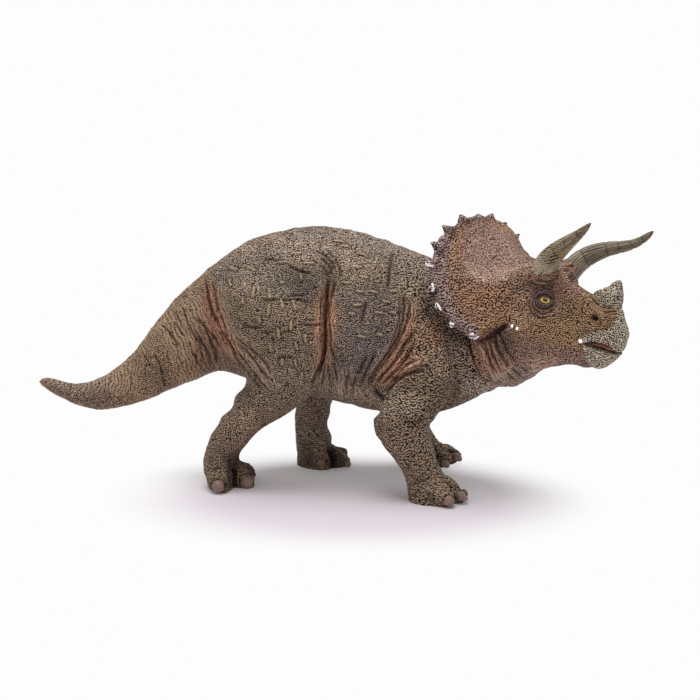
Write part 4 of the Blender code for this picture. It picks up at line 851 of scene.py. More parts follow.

# Materials: how the paint is darkened in grooves and lightened on ridges, partly as the toy's dark
# wash and dry-brushing and partly as painted shade and highlight of the relief
HIDE_ROUGHNESS = 0.61
HIDE_SPECULAR = 0.2
HIDE_STOPS = (
    (0.0, (0.012, 0.009, 0.008)), (0.28, (0.040, 0.030, 0.026)), (0.44, (1.00, 0.92, 0.88)),
    (0.62, (2.15, 2.15, 2.15)), (1.0, (2.55, 2.60, 2.62)),
)
HIDE_RELIEF_SHARES = (0.68, 1.32)
HIDE_CREASE_SHARE = 0.9
HIDE_CREASE_COLOUR = (0.15, 0.10, 0.085, 1.0)
HIDE_BUMP_SHARE = 0.8
HIDE_BUMP_HEIGHT = 0.00022
RUN_SWAY_WAVE = 0.0035
RUN_SWAY = 2.2
RUN_GAIN = 1.25
RUN_SHARE = 0.38
HORN_ROUGHNESS = 0.5
HORN_STOPS = (
    (0.05, (0.10, 0.08, 0.07)), (0.35, (0.50, 0.47, 0.43)), (0.65, (1.20, 1.18, 1.15)),
    (1.0, (1.60, 1.60, 1.58)),
)
HORN_CRACK_COLOUR = (0.030, 0.020, 0.014, 1.0)
HORN_BUMP_SHARE = 0.7
HORN_BUMP_HEIGHT = 0.00015
HORN_SWAY_SCALE = 0.5
HORN_SWAY = 3.0
HORN_SPECK_SCALE = 1.3
HORN_SPECK = 1.6
MOTTLE_STOPS = ((0.25, (0.75, 0.74, 0.73)), (0.75, (1.2, 1.2, 1.2)))
# Grain and roughness of the plain paints
NAIL_GLOSS = (0.0008, 0.45)
TONGUE_GLOSS = (0.0006, 0.4)
EYE_GLOSS = (0.0004, 0.25)


def body_point(x_share, y_share, z_share):
    return Vector((x_share * TRUNK_LENGTH, y_share * TRUNK_WIDTH, z_share * FIGURE_HEIGHT))


def tail_point(back_share, y_share, z_share):
    point = body_point(TAIL_ROOT_SHARE, y_share, z_share)
    point.x -= back_share * TAIL_LENGTH
    return point


def view_axes():
    """The camera's right, up and back."""
    azimuth, elevation = VIEW_AZIMUTH, VIEW_ELEVATION
    back = Vector((
        math.sin(azimuth) * math.cos(elevation),
        -math.cos(azimuth) * math.cos(elevation),
        math.sin(elevation),
    ))
    right = Vector((math.cos(azimuth), math.sin(azimuth), 0))
    return right, back.cross(right), back


def mirror(place):
    """Swaps near and far in the frame of a place."""
    return place @ Matrix.Diagonal((1, -1, 1, 1)) @ place.inverted()


VIEW_RIGHT, VIEW_UP, VIEW_BACK = view_axes()
VIEW_EYE = VIEW_TARGET + VIEW_BACK * VIEW_DISTANCE
HEAD_PLACE = (
    Matrix.Translation(body_point(*HEAD_ORIGIN_SHARES)) @ Matrix.Rotation(HEAD_TURN, 4, "Z")
)
FRILL_PLACE = HEAD_PLACE @ Matrix.Rotation(FRILL_ROLL, 4, "X")
FRILL_RISE = Vector((-math.cos(FRILL_TILT), 0, math.sin(FRILL_TILT)))
FRILL_BACK = Vector((-math.sin(FRILL_TILT), 0, -math.cos(FRILL_TILT)))


def smooth_rows(rows, steps, closed=False):
    """Rows read off one smooth curve through the given rows."""
    count = len(rows)
    found = []
    for index in range(count if closed else count - 1):
        if closed:
            before, start, end, after = (rows[(index + k) % count] for k in (-1, 0, 1, 2))
        else:
            start, end = rows[index], rows[index + 1]
            before = rows[max(index - 1, 0)]
            after = rows[min(index + 2, count - 1)]
        for step in range(steps):
            t = step / steps
            found.append(tuple(
                0.5 * (2 * b + (c - a) * t + (2 * a - 5 * b + 4 * c - d) * t**2
                       + (3 * b - a - 3 * c + d) * t**3)
                for a, b, c, d in zip(before, start, end, after)
            ))
    if not closed:
        found.append(tuple(rows[-1]))
    return found


def arch_ring(half_width, bottom, top):
    """One cross-section as (side, height) pairs, counterclockwise."""
    waist = bottom + WAIST_SHARE * (top - bottom)
    ring = []
    for step in range(RING_POINTS):
        turn = math.tau * step / RING_POINTS
        side, rise = math.cos(turn), math.sin(turn)
        power = ARCH_POWER_SHARE if rise > 0 else BELLY_POWER_SHARE
        reach = top - waist if rise > 0 else waist - bottom
        ring.append((half_width * math.copysign(abs(side) ** power, side), waist + reach * rise))
    return ring


def add_loft(mesh, rings):
    """Adds a closed tube through rings of points to a bmesh."""
    rows = [[mesh.verts.new(point) for point in ring] for ring in rings]
    count = len(rows[0])
    for row, following in zip(rows, rows[1:]):
        for k in range(count):
            mesh.faces.new((row[k], row[(k + 1) % count], following[(k + 1) % count], following[k]))
    mesh.faces.new(list(reversed(rows[0])))
    mesh.faces.new(rows[-1])


def add_ball(mesh, centre, radii, turn=None):
    place = Matrix.Translation(centre)
    if turn:
        place = place @ turn
    place = place @ Matrix.Diagonal((*radii, 1.0))
    bmesh.ops.create_icosphere(mesh, subdivisions=3, radius=1.0, matrix=place)


def make_object(name, mesh):
    """Turns a bmesh into an object with its faces outward."""
    bmesh.ops.recalc_face_normals(mesh, faces=mesh.faces)
    data = bpy.data.meshes.new(name)
    mesh.to_mesh(data)
    mesh.free()
    piece = bpy.data.objects.new(name, data)
    bpy.context.scene.collection.objects.link(piece)
    return piece


def modify(piece, kind, **settings):
    """Adds a modifier and keeps its result as the piece's own mesh."""
    modifier = piece.modifiers.new(kind.title(), kind)
    for setting, value in settings.items():
        setattr(modifier, setting, value)
    graph = bpy.context.evaluated_depsgraph_get()
    data = bpy.data.meshes.new_from_object(piece.evaluated_get(graph))
    piece.modifiers.clear()
    piece.data = data


def read_values(items, field, width=1):
    """One field of all items of a mesh, with a row for each item where it has a width."""
    values = np.empty(len(items) * width, np.float32)
    items.foreach_get(field, values)
    return values.reshape(-1, width) if width > 1 else values


def write_values(items, field, values):
    items.foreach_set(field, values.astype(np.float32).ravel())


def cut(piece, operation, tool):
    modify(piece, "BOOLEAN", operation=operation, object=tool, solver="MANIFOLD")
    bpy.data.objects.remove(tool)


def copy_of(piece, name):
    twin = bpy.data.objects.new(name, piece.data.copy())
    bpy.context.scene.collection.objects.link(twin)
    return twin


def grow(outline, margin):
    """Moves a closed outline outward by a margin."""
    points = [Vector(point) for point in outline]
    count = len(points)
    area = sum(a.x * b.y - b.x * a.y for a, b in zip(points, points[1:] + points[:1]))
    grown = []
    for index, point in enumerate(points):
        along = points[(index + 1) % count] - points[index - 1]
        outward = Vector((along.y, -along.x)).normalized() * math.copysign(margin, area)
        grown.append(point + outward)
    return grown


def prism(outline, low, high, place=None):
    """An outline of (ahead, height) pairs drawn out sideways from low to high."""
    place = place or Matrix()
    mesh = bmesh.new()
    rings = [[place @ Vector((x, side, z)) for x, z in outline] for side in (low, high)]
    add_loft(mesh, rings)
    return make_object("prism", mesh)


def block(low, high, place=None):
    mesh = bmesh.new()
    size = Vector(high) - Vector(low)
    middle = (Vector(high) + Vector(low)) / 2
    local = Matrix.Translation(middle) @ Matrix.Diagonal((*size, 1.0))
    bmesh.ops.create_cube(mesh, size=1.0, matrix=(place or Matrix()) @ local)
    return make_object("block", mesh)


def body_outline(shares, rounded, margin):
    points = [(x * TRUNK_LENGTH, z * FIGURE_HEIGHT) for x, z in shares]
    if rounded:
        points = smooth_rows(points, OUTLINE_STEPS, closed=True)
    return grow(points, margin)


def leg_zone(side, floor, pocket_shares, lower_shares, margin):
    """The space of one leg piece: its pocket in the flank and everything below the belly."""
    reach = side * CUTTER_REACH
    zone = prism(body_outline(pocket_shares, True, margin), side * (floor - margin), reach)
    inner = side * (MIDLINE_CLEARANCE - margin)
    lower = prism(body_outline(lower_shares, False, margin), inner, reach + side * floor)
    cut(zone, "UNION", lower)
    return zone


def seam_place(shares, lean):
    """A frame on a seam plane, with its X axis square to the plane and pointing ahead and up."""
    point = body_point(shares[0], 0.0, shares[1])
    return Matrix.Translation(point) @ Matrix.Rotation(-lean, 4, "Y")


TAIL_SEAM = seam_place(TAIL_SEAM_SHARES, TAIL_SEAM_LEAN)
NECK_SEAM = seam_place(NECK_SEAM_SHARES, NECK_SEAM_LEAN)


def tail_zone(margin):
    """The space of the tail piece: behind its seam and above the hind legs."""
    down = TAIL_SEAM @ Vector((0, 0, -TAIL_SEAM_FALL))
    up = TAIL_SEAM @ Vector((0, 0, TAIL_SEAM_RISE))
    outline = [(up.x, up.z), (down.x, down.z)]
    outline += [(x * TRUNK_LENGTH, z * FIGURE_HEIGHT) for x, z in TAIL_UNDERSIDE_SHARES]
    outline += [(-CUTTER_REACH, -CUTTER_REACH), (-CUTTER_REACH, up.z)]
    return prism(grow(outline, margin), -CUTTER_REACH, CUTTER_REACH)


def half_space(place, ahead, margin=0.0):
    """Everything ahead of a seam plane, or behind it, from a margin off the plane."""
    low, high = (margin, CUTTER_REACH) if ahead else (-CUTTER_REACH, -margin)
    side = Vector((0.0, CUTTER_REACH, CUTTER_REACH))
    return block(Vector((low, 0, 0)) - side, Vector((high, 0, 0)) + side, place)


def trunk_rings(inset=0.0, rear=None):
    rows = [(tail_point(s, y, 0.0).x, top, bottom, half, y) for s, top, bottom, half, y in TAIL_SHARES]
    rows += [(s * TRUNK_LENGTH, top, bottom, half, y) for s, top, bottom, half, y in TRUNK_SHARES]
    rings = []
    for x, top, bottom, half, y in smooth_rows(rows, SPAN_STEPS):
        if rear is not None and x < rear:
            continue
        ring = arch_ring(
            half * TRUNK_WIDTH - inset, bottom * FIGURE_HEIGHT + inset, top * FIGURE_HEIGHT - inset
        )
        rings.append([Vector((x, y * TRUNK_WIDTH + side, height)) for side, height in ring])
    return rings


LEGS = (
    ("hindleg_right", -1, HIND_RIGHT_SHARES, HIND_RIGHT_NAIL_SHARES),
    ("hindleg_left", 1, HIND_LEFT_SHARES, HIND_LEFT_NAIL_SHARES),
    ("foreleg_right", -1, FORE_RIGHT_SHARES, FORE_RIGHT_NAIL_SHARES),
    ("foreleg_left", 1, FORE_LEFT_SHARES, FORE_LEFT_NAIL_SHARES),
)


def toe_places(shares, nail_shares):
    """Sole centre, reach and turn of each toe of a foot."""
    sole = body_point(shares[-1][0], shares[-1][1], 0.0)
    for ahead, aside in nail_shares:
        reach = Vector((ahead, aside, 0)) * FOOT_REACH
        yield sole, reach, Matrix.Rotation(math.atan2(reach.y, reach.x), 4, "Z")


def add_leg(mesh, shares, nail_shares):
    rings = []
    for x, y, z, ahead, aside in smooth_rows(shares, SPAN_STEPS):
        centre = body_point(x, y, z)
        turns = [math.tau * step / RING_POINTS for step in range(RING_POINTS)]
        rings.append([
            centre + LEG_RADIUS * Vector((ahead * math.cos(t), aside * math.sin(t), 0))
            for t in turns
        ])
    add_loft(mesh, rings)
    for sole, reach, turn in toe_places(shares, nail_shares):
        middle = sole + reach * (1 + TOE_ROOT_SHARE) / 2
        middle.z = TOE_HEIGHT_SHARE * TOE_RADIUS
        add_ball(mesh, middle, (TOE_STRETCH_SHARE * FOOT_REACH, TOE_RADIUS, TOE_RADIUS), turn)
        tip = sole + reach
        tip.z = NAIL_HEIGHT_SHARE * NAIL_RADIUS
        add_ball(mesh, tip, (NAIL_RADIUS, NAIL_RADIUS, NAIL_RADIUS), turn)


def head_point(ahead, aside, above):
    return HEAD_PLACE @ Vector((ahead, aside, above))


def head_share_point(ahead_share, aside_share, above_share):
    return head_point(
        ahead_share * HEAD_LENGTH, aside_share * HEAD_WIDTH, above_share * HEAD_DEPTH
    )


def skull_rings():
    rings = []
    for ahead, top, bottom, half in smooth_rows(HEAD_SHARES, SPAN_STEPS):
        ring = arch_ring(half * HEAD_WIDTH, bottom * HEAD_DEPTH, top * HEAD_DEPTH)
        rings.append([head_point(ahead * HEAD_LENGTH, side, height) for side, height in ring])
    return rings


def frill_spot(turn, outward_share):
    """A point on the frill's middle surface, from its hub at 0 to its rim at 1."""
    centre = Vector((FRILL_CENTRE_SHARES[0] * HEAD_LENGTH, 0, FRILL_CENTRE_SHARES[1] * HEAD_DEPTH))
    hub = Vector((FRILL_HUB_SHARES[0] * HEAD_LENGTH, 0, FRILL_HUB_SHARES[1] * HEAD_DEPTH))
    rise, side = FRILL_RISE * math.cos(turn), Vector((0, math.sin(turn), 0))
    wrap = Vector((-FRILL_SWEEP_BACK, 0, -FRILL_DROP)) * math.sin(turn) ** 2
    rim = centre + rise * FRILL_RISE_RADIUS + side * FRILL_SIDE_RADIUS + wrap
    root = hub + (rise + side) * FRILL_HUB_RADIUS
    dish = FRILL_BACK * FRILL_DISH * math.sin(math.pi * outward_share)
    return root.lerp(rim, outward_share) + dish


def add_frill(mesh):
    rings = []
    for span in range(FRILL_SPANS + 1):
        turn = FRILL_HALF_SWEEP * (2 * span / FRILL_SPANS - 1)
        front, back = [], []
        for step in range(FRILL_RINGS + 1):
            share = step / FRILL_RINGS
            spot = frill_spot(turn, share)
            thickness = FRILL_HUB_THICKNESS + (FRILL_RIM_THICKNESS - FRILL_HUB_THICKNESS) * share
            front.append(FRILL_PLACE @ (spot - FRILL_BACK * thickness / 2))
            back.append(FRILL_PLACE @ (spot + FRILL_BACK * thickness / 2))
        rings.append(front + back[::-1])
    add_loft(mesh, rings)


def spike_places():
    """Root and tip of each stud of the picture, and of the lowest ones' mirrors on the far side."""
    turns = [math.radians(turn) for turn in range(-STUD_TURN_LIMIT, STUD_TURN_LIMIT + 1)]
    rim = [FRILL_PLACE @ frill_spot(turn, 1.0) for turn in turns]
    seen = pixels_of(np.array(rim))
    flip = mirror(FRILL_PLACE)
    for pixel in STUD_PIXELS:
        nearest = int(pixel_gap(seen, *pixel).argmin())
        root = rim[nearest]
        tip = at_depth(pixel, depth_of(root))
        yield root, tip, False
        if turns[nearest] < STUD_MIRROR_TURN:
            yield flip @ root, flip @ tip, True


def add_spikes(mesh):
    for root, tip, _ in spike_places():
        outward = (tip - root).normalized()
        start = root - outward * SPIKE_ROOT
        place = Matrix.Translation((start + tip) / 2)
        place = place @ outward.to_track_quat("Z", "Y").to_matrix().to_4x4()
        bmesh.ops.create_cone(
            mesh, cap_ends=True, segments=SPIKE_SIDES, radius1=SPIKE_RADIUS,
            radius2=SPIKE_TIP_RADIUS, depth=(tip - start).length, matrix=place,
        )


def fuse(piece, smoothing_steps):
    """Melts overlapping masses into one smooth skin, as the solids are melted."""
    modify(piece, "REMESH", mode="VOXEL", voxel_size=COARSE_VOXEL)
    modify(piece, "SMOOTH", factor=SMOOTHING_SHARE, iterations=smoothing_steps)


def refine(piece, voxel):
    modify(piece, "REMESH", mode="VOXEL", voxel_size=voxel)
    modify(piece, "SMOOTH", factor=SMOOTHING_SHARE, iterations=FINE_SMOOTHING_STEPS)


def make_body():
    mesh = bmesh.new()
    add_loft(mesh, trunk_rings())
    for _, _, shares, nails in LEGS:
        add_leg(mesh, shares, nails)
    body = make_object("body", mesh)
    fuse(body, BODY_SMOOTHING_STEPS)
    skin = Skin(body, HIDE_COLOUR)
    skin.look(Matrix())
    nudge(skin, Matrix(), NEAR_BODY_MOVES, -1)
    nudge(skin, Matrix(), FAR_BODY_MOVES, 1)
    skin.look(Matrix())
    step_sole(skin)
    skin.relay()
    tree = piece_tree(body)
    mesh = bmesh.new()
    mesh.from_mesh(body.data)
    for rows in TOE_PIXELS:
        add_seen_balls(mesh, tree, rows, TOE_BALLS, TOE_SINK_SHARE, True)
    mesh.to_mesh(body.data)
    mesh.free()
    refine(body, BODY_VOXEL)
    return body


def make_head():
    mesh = bmesh.new()
    add_loft(mesh, skull_rings())
    add_loft(mesh, trunk_rings(0.0, NECK_LOFT_START))
    add_frill(mesh)
    for side in (-1, 1):
        ahead, aside, above = CHEEK_SHARES
        add_ball(mesh, head_share_point(ahead, side * aside, above), [CHEEK_RADIUS] * 3)
        ahead, aside, above = BROW_SHARES
        add_ball(mesh, head_share_point(ahead, side * aside, above), [BROW_RADIUS] * 3)
    head = make_object("skull", mesh)
    fuse(head, HEAD_SMOOTHING_STEPS)
    skin = Skin(head, HEAD_COLOUR)
    skin.look(HEAD_PLACE)
    nudge(skin, HEAD_PLACE, FRILL_MOVES)
    nudge(skin, HEAD_PLACE, FAR_FRILL_MOVES, 1)
    skin.relay()
    mesh = bmesh.new()
    mesh.from_mesh(head.data)
    add_spikes(mesh)
    add_collar(mesh, BROW_HORN_RIGHT_SHARES, NEAR_COLLAR_PIXELS)
    add_collar(mesh, BROW_HORN_LEFT_SHARES, FAR_COLLAR_PIXELS)
    mesh.to_mesh(head.data)
    mesh.free()
    refine(head, HEAD_VOXEL)
    return head


# Height and paint are kept per point of a skin

LAYERS = ("relief", "crease", "plain", "pebble", "flow", "flow_share")


class Skin:
    """The points of a mesh with their outward directions, height, creases and paint."""

    def __init__(self, piece, colour):
        data = piece.data
        count = len(data.vertices)
        self.piece = piece
        self.points = read_values(data.vertices, "co", 3).astype(float)
        self.normals = read_values(data.vertices, "normal", 3).astype(float)
        for name in ("height", *LAYERS):
            setattr(self, name, np.zeros(count))
        self.paint = np.tile(np.array(colour, float), (count, 1))

    def look(self, place):
        """Finds the pixels of the points, those of the far side from their place mirrored."""
        local = self.points @ np.array(place.inverted().to_3x3()).T
        local += np.array(place.inverted().translation)
        self.far = local[:, 1] > 0
        local[:, 1] = -np.abs(local[:, 1])
        near = local @ np.array(place.to_3x3()).T + np.array(place.translation)
        self.pixels = pixels_of(near)
        self.true_pixels = pixels_of(self.points)

    def relay(self):
        """Puts moved points back on the mesh, so that rays meet the moved skin."""
        write_values(self.piece.data.vertices, "co", self.points)
        self.piece.data.update()

    def patch(self, outline, colour, feather, strength):
        """Brushes a colour inside an outline of pixels, with a soft edge."""
        self.brush(colour, strength * patch_share(self.pixels, outline, feather))

    def lead(self, line, reach, spacing):
        """Lets wrinkles run along a line of pixels, or in rings round one shorter than its reach."""
        line = np.array(line, float)
        gap, along = reach_to(self.pixels, line)
        share = 1 - smoothstep(FLOW_CORE_SHARE * reach, reach, gap)
        if np.linalg.norm(line[-1] - line[0]) > reach:
            share *= run_out(along, FLOW_END_SHARE)
        wins = share > self.flow_share
        self.flow[wins] = gap[wins] / spacing
        self.flow_share[wins] = share[wins]

    def brush(self, colour, share):
        """Lays a colour over the paint, by a share from 0 to 1 at each point."""
        share = np.clip(share, 0, 1)[:, None]
        self.paint = self.paint * (1 - share) + np.array(colour) * share

    def brush_near(self, near, colour, share):
        share = np.clip(share, 0, 1)[:, None]
        self.paint[near] = self.paint[near] * (1 - share) + np.array(colour) * share

    def keep(self):
        """Moves the mesh out to its height and stores the layers that the materials read."""
        data = self.piece.data
        write_values(data.vertices, "co", self.points + self.normals * self.height[:, None])
        ones = np.ones((len(self.points), 1))
        layers = {name: getattr(self, name) for name in LAYERS}
        for name, values in (*layers.items(), ("kept", ones)):
            layer = data.attributes.new(name, "FLOAT", "POINT")
            write_values(layer.data, "value", values)
        layer = data.attributes.new("paint", "FLOAT_COLOR", "POINT")
        write_values(layer.data, "color", np.concatenate([self.paint, ones], axis=1))
        data.update()


def smoothstep(low, high, values):
    t = np.clip((values - low) / (high - low), 0, 1)
    return t * t * (3 - 2 * t)


def run_out(along, end_share):
    """1 along the middle of a line, falling to 0 at both its ends."""
    return smoothstep(0, end_share, along) * smoothstep(0, end_share, 1 - along)


def noise_block(seed):
    """A block of noise that repeats at its sides, with nearly one wavelength and spread 1."""
    rng = np.random.default_rng(seed)
    field = np.fft.rfftn(rng.standard_normal((NOISE_CELLS,) * 3))
    axis = np.fft.fftfreq(NOISE_CELLS)
    half = np.fft.rfftfreq(NOISE_CELLS)
    radius = np.sqrt(axis[:, None, None] ** 2 + axis[None, :, None] ** 2 + half[None, None, :] ** 2)
    middle = 1 / NOISE_WAVE_CELLS
    band = np.exp(-(((radius - middle) / (NOISE_BAND_SHARE * middle)) ** 2))
    block_values = np.fft.irfftn(field * band, s=(NOISE_CELLS,) * 3)
    return (block_values / block_values.std()).astype(np.float32)


NOISE = noise_block(NOISE_SEED)
NOISE_TURN = np.array(
    Matrix.Rotation(NOISE_TURNS[0], 3, "X") @ Matrix.Rotation(NOISE_TURNS[1], 3, "Z")
)


def noise_at(points, wave):
    """Noise of one wavelength at points in space."""
    cells = points @ NOISE_TURN.T * (NOISE_WAVE_CELLS / wave)
    low = np.floor(cells).astype(int)
    part = cells - low
    found = np.zeros(len(points))
    for corner in range(8):
        step = np.array([(corner >> k) & 1 for k in range(3)])
        index = (low + step) % NOISE_CELLS
        weight = np.prod(np.where(step, part, 1 - part), axis=1)
        found += weight * NOISE[index[:, 0], index[:, 1], index[:, 2]]
    return found


def reach_to(points, line):
    """Distance from each point to a line of points, and how far along it the nearest spot is."""
    lengths = np.linalg.norm(np.diff(line, axis=0), axis=1)
    ends = np.concatenate([[0], np.cumsum(lengths)]) / lengths.sum()
    best = np.full(len(points), np.inf)
    along = np.zeros(len(points))
    for k, length in enumerate(lengths):
        start, step = line[k], line[k + 1] - line[k]
        share = np.clip((points - start) @ step / length**2, 0, 1)
        gap = np.linalg.norm(points - start - share[:, None] * step, axis=1)
        closer = gap < best
        best[closer] = gap[closer]
        along[closer] = (ends[k] + share * (ends[k + 1] - ends[k]))[closer]
    return best, along


def patch_share(pixels, outline, feather):
    """1 well inside an outline, 0 well outside it, with a soft edge between."""
    ring = np.array(outline, float)
    inside = np.zeros(len(pixels), bool)
    gap = np.full(len(pixels), np.inf)
    for start, end in zip(ring, np.roll(ring, -1, axis=0)):
        step = end - start
        share = np.clip((pixels - start) @ step / (step @ step), 0, 1)
        gap = np.minimum(gap, np.linalg.norm(pixels - start - share[:, None] * step, axis=1))
        if step[1]:
            crossed = (start[1] > pixels[:, 1]) != (end[1] > pixels[:, 1])
            edge = start[0] + (pixels[:, 1] - start[1]) / step[1] * step[0]
            inside ^= crossed & (pixels[:, 0] < edge)
    return smoothstep(-feather, feather, np.where(inside, gap, -gap))


def nudge(skin, place, moves, side=None):
    """Shifts soft round regions of the picture, in the plane that the figure mirrors in.

    A side of -1 or 1 shifts only the near or the far half, where the picture shows it.
    """
    pixels = skin.pixels if side is None else skin.true_pixels
    held = 1.0 if side is None else np.where(skin.far == (side > 0), 1.0, 0.0)
    right, up = np.array(VIEW_RIGHT), np.array(VIEW_UP)
    ahead, above = (np.array(place.to_3x3() @ Vector(axis)) for axis in ((1, 0, 0), (0, 0, 1)))
    plane = np.array(((ahead @ right, above @ right), (ahead @ up, above @ up)))
    size = VIEW_DISTANCE / FOCAL_PIXELS
    for across, down, radius, shift_across, shift_down in moves:
        share = smoothstep(1, 0, pixel_gap(pixels, across, down) / radius) * held
        step = np.linalg.solve(plane, np.array((shift_across, -shift_down)) * size)
        skin.points += share[:, None] * (step[0] * ahead + step[1] * above)


def step_sole(skin):
    """Draws the front of the near hind foot back beside its outer toe."""
    x, y, z = skin.points.T
    sole = body_point(*HIND_RIGHT_SHARES[-1][:3])
    share = smoothstep(*SOLE_STEP_PIXELS, skin.true_pixels[:, 0]) * (x < 0)
    share = share * smoothstep(*SOLE_STEP_HEIGHTS, z) * (y < sole.y)
    skin.points[:, 1] += SOLE_STEP_SHARE * share * (sole.y - y)


def near_box(points, line, margin):
    return np.flatnonzero(
        np.all((points > line.min(axis=0) - margin) & (points < line.max(axis=0) + margin), axis=1)
    )


def press_fold(skin, line, width, depth):
    """A crease along a line, with a raised lip on each side and both ends running out."""
    near = near_box(skin.points, line, BRUSH_WIDTHS * width)
    gap, along = reach_to(skin.points[near], line)
    ends = run_out(along, FOLD_END_SHARE)
    valley = np.exp(-((gap / width) ** 2)) * ends
    lips = np.exp(-(((gap - 2 * width) / width) ** 2)) * ends
    skin.height[near] += depth * (FOLD_LIP_SHARE * lips - valley)
    skin.crease[near] = np.maximum(skin.crease[near], valley)


def raise_bar(skin, line):
    """A smooth raised bar along a line, with a dark moat round it."""
    near = near_box(skin.points, line, BRUSH_WIDTHS * BAR_RADIUS)
    gap, _ = reach_to(skin.points[near], line)
    top = np.exp(-((gap / BAR_RADIUS) ** 4))
    moat = np.exp(-(((gap - 2 * BAR_RADIUS) / (MOAT_WIDTH_SHARE * BAR_RADIUS)) ** 2))
    skin.crease[near] = np.maximum(skin.crease[near] * (1 - top), MOAT_CREASE_SHARE * moat)
    skin.plain[near] = np.maximum(skin.plain[near], BAR_PLAIN_SHARE * top)
    skin.height[near] += BAR_HEIGHT * (top - MOAT_DEPTH_SHARE * moat)


# Rays through the photograph's pixels


def pixel_ray(pixel):
    across, down = pixel[0] - PICTURE_PIXELS / 2, pixel[1] - PICTURE_PIXELS / 2
    return (VIEW_RIGHT * across - VIEW_UP * down - VIEW_BACK * FOCAL_PIXELS).normalized()


def pixels_of(points):
    """Where points land in the photograph."""
    right, up, back = (np.array(axis) for axis in (VIEW_RIGHT, VIEW_UP, VIEW_BACK))
    away = points - np.array(VIEW_TARGET)
    scale = FOCAL_PIXELS / (VIEW_DISTANCE - away @ back)
    across = PICTURE_PIXELS / 2 + scale * (away @ right)
    down = PICTURE_PIXELS / 2 - scale * (away @ up)
    return np.stack([across, down], axis=1)


def pixel_gap(pixels, across, down):
    return np.hypot(pixels[:, 0] - across, pixels[:, 1] - down)


def at_depth(pixel, depth):
    """The point on a pixel's ray at a distance along the camera's axis."""
    ray = pixel_ray(pixel)
    return VIEW_EYE - ray * (depth / ray.dot(VIEW_BACK))


def depth_of(point):
    return VIEW_DISTANCE - (point - VIEW_TARGET).dot(VIEW_BACK)


def on_skin(tree, pixels):
    """Where the camera's rays through pixels meet a skin, as an array of points."""
    found = [tree.ray_cast(VIEW_EYE, pixel_ray(pixel))[0] for pixel in pixels]
    return np.array([spot for spot in found if spot is not None])


def both_sides(tree, pixels, place):
    """A line of pixels laid onto the near side of a skin and, mirrored, onto the far side."""
    line = on_skin(tree, pixels)
    if len(line) < 2:
        return
    yield line
    flip = mirror(place)
    yield np.array([tree.find_nearest(flip @ Vector(point))[0] for point in line])


def piece_tree(piece):
    bpy.context.view_layer.update()
    return BVHTree.FromObject(piece, bpy.context.evaluated_depsgraph_get())


def sunk_depth(tree, row, sink_share):
    """The depth of a ball of a pixel row that sinks into the skin by a share of its radius."""
    across, down, radius = row
    found = on_skin(tree, ((across, down),))
    if len(found):
        return depth_of(Vector(found[0])) + sink_share * radius * VIEW_DISTANCE / FOCAL_PIXELS
    return None


def add_seen_balls(mesh, tree, rows, count, sink_share, rests):
    """Balls strung from root to tip along rows of pixels, all as near as the nearer end.

    Where they rest, they run from the root in the skin to a tip on the ground instead.
    """
    first = sunk_depth(tree, rows[0], sink_share)
    if first is None:
        return
    if rests:
        across, down, radius = rows[-1]
        ray = pixel_ray((across, down + radius * math.cos(VIEW_ELEVATION)))
        last = depth_of(VIEW_EYE + ray * ((GROUND_HEIGHT - VIEW_EYE.z) / ray.z))
    else:
        tip = sunk_depth(tree, rows[-1], sink_share)
        first = last = first if tip is None else min(first, tip)
    places = np.linspace(0, len(rows) - 1, count)
    columns = [np.interp(places, range(len(rows)), column) for column in zip(*rows)]
    for across, down, radius, depth in zip(*columns, np.linspace(first, last, count)):
        place = Matrix.Translation(at_depth((across, down), depth))
        bmesh.ops.create_icosphere(
            mesh, subdivisions=4, radius=radius * depth / FOCAL_PIXELS, matrix=place
        )


def fold_both_sides(skin, tree, folds, place):
    for pixels, width, depth in folds:
        for line in both_sides(tree, pixels, place):
            press_fold(skin, line, width, depth)


def part_toes(skin, tree):
    """Creases between toes, and a dark ring round the root of each nail."""
    for _, _, shares, nails in LEGS:
        toes = list(toe_places(shares, nails))
        for (sole, first, _), (_, second, _) in zip(toes, toes[1:]):
            way = (first.normalized() + second.normalized()).normalized()
            line = []
            for level in range(TOE_CREASE_LEVELS):
                height = Vector((0, 0, TOE_CREASE_START + TOE_CREASE_STEP * level))
                spot = tree.ray_cast(sole + height, way)[0]
                if spot:
                    line.append(spot)
            if len(line) > 2:
                press_fold(skin, np.array(line), TOE_CREASE_WIDTH, TOE_CREASE_DEPTH)
    for _, rows in NAIL_PIXELS:
        (across, down, wide), (tip_across, tip_down, tip_wide) = rows
        line = np.array(((across, down), (tip_across, tip_down)))
        gap, along = reach_to(skin.true_pixels, line)
        gap = gap / (wide + (tip_wide - wide) * along)
        ring = np.exp(-(((gap - NAIL_RING_REACH_SHARE) / NAIL_RING_WIDTH_SHARE) ** 2))
        ring *= skin.normals @ np.array(VIEW_BACK) > 0
        skin.height -= NAIL_RING_DEPTH * ring
        skin.crease = np.maximum(skin.crease, NAIL_RING_CREASE_SHARE * ring)


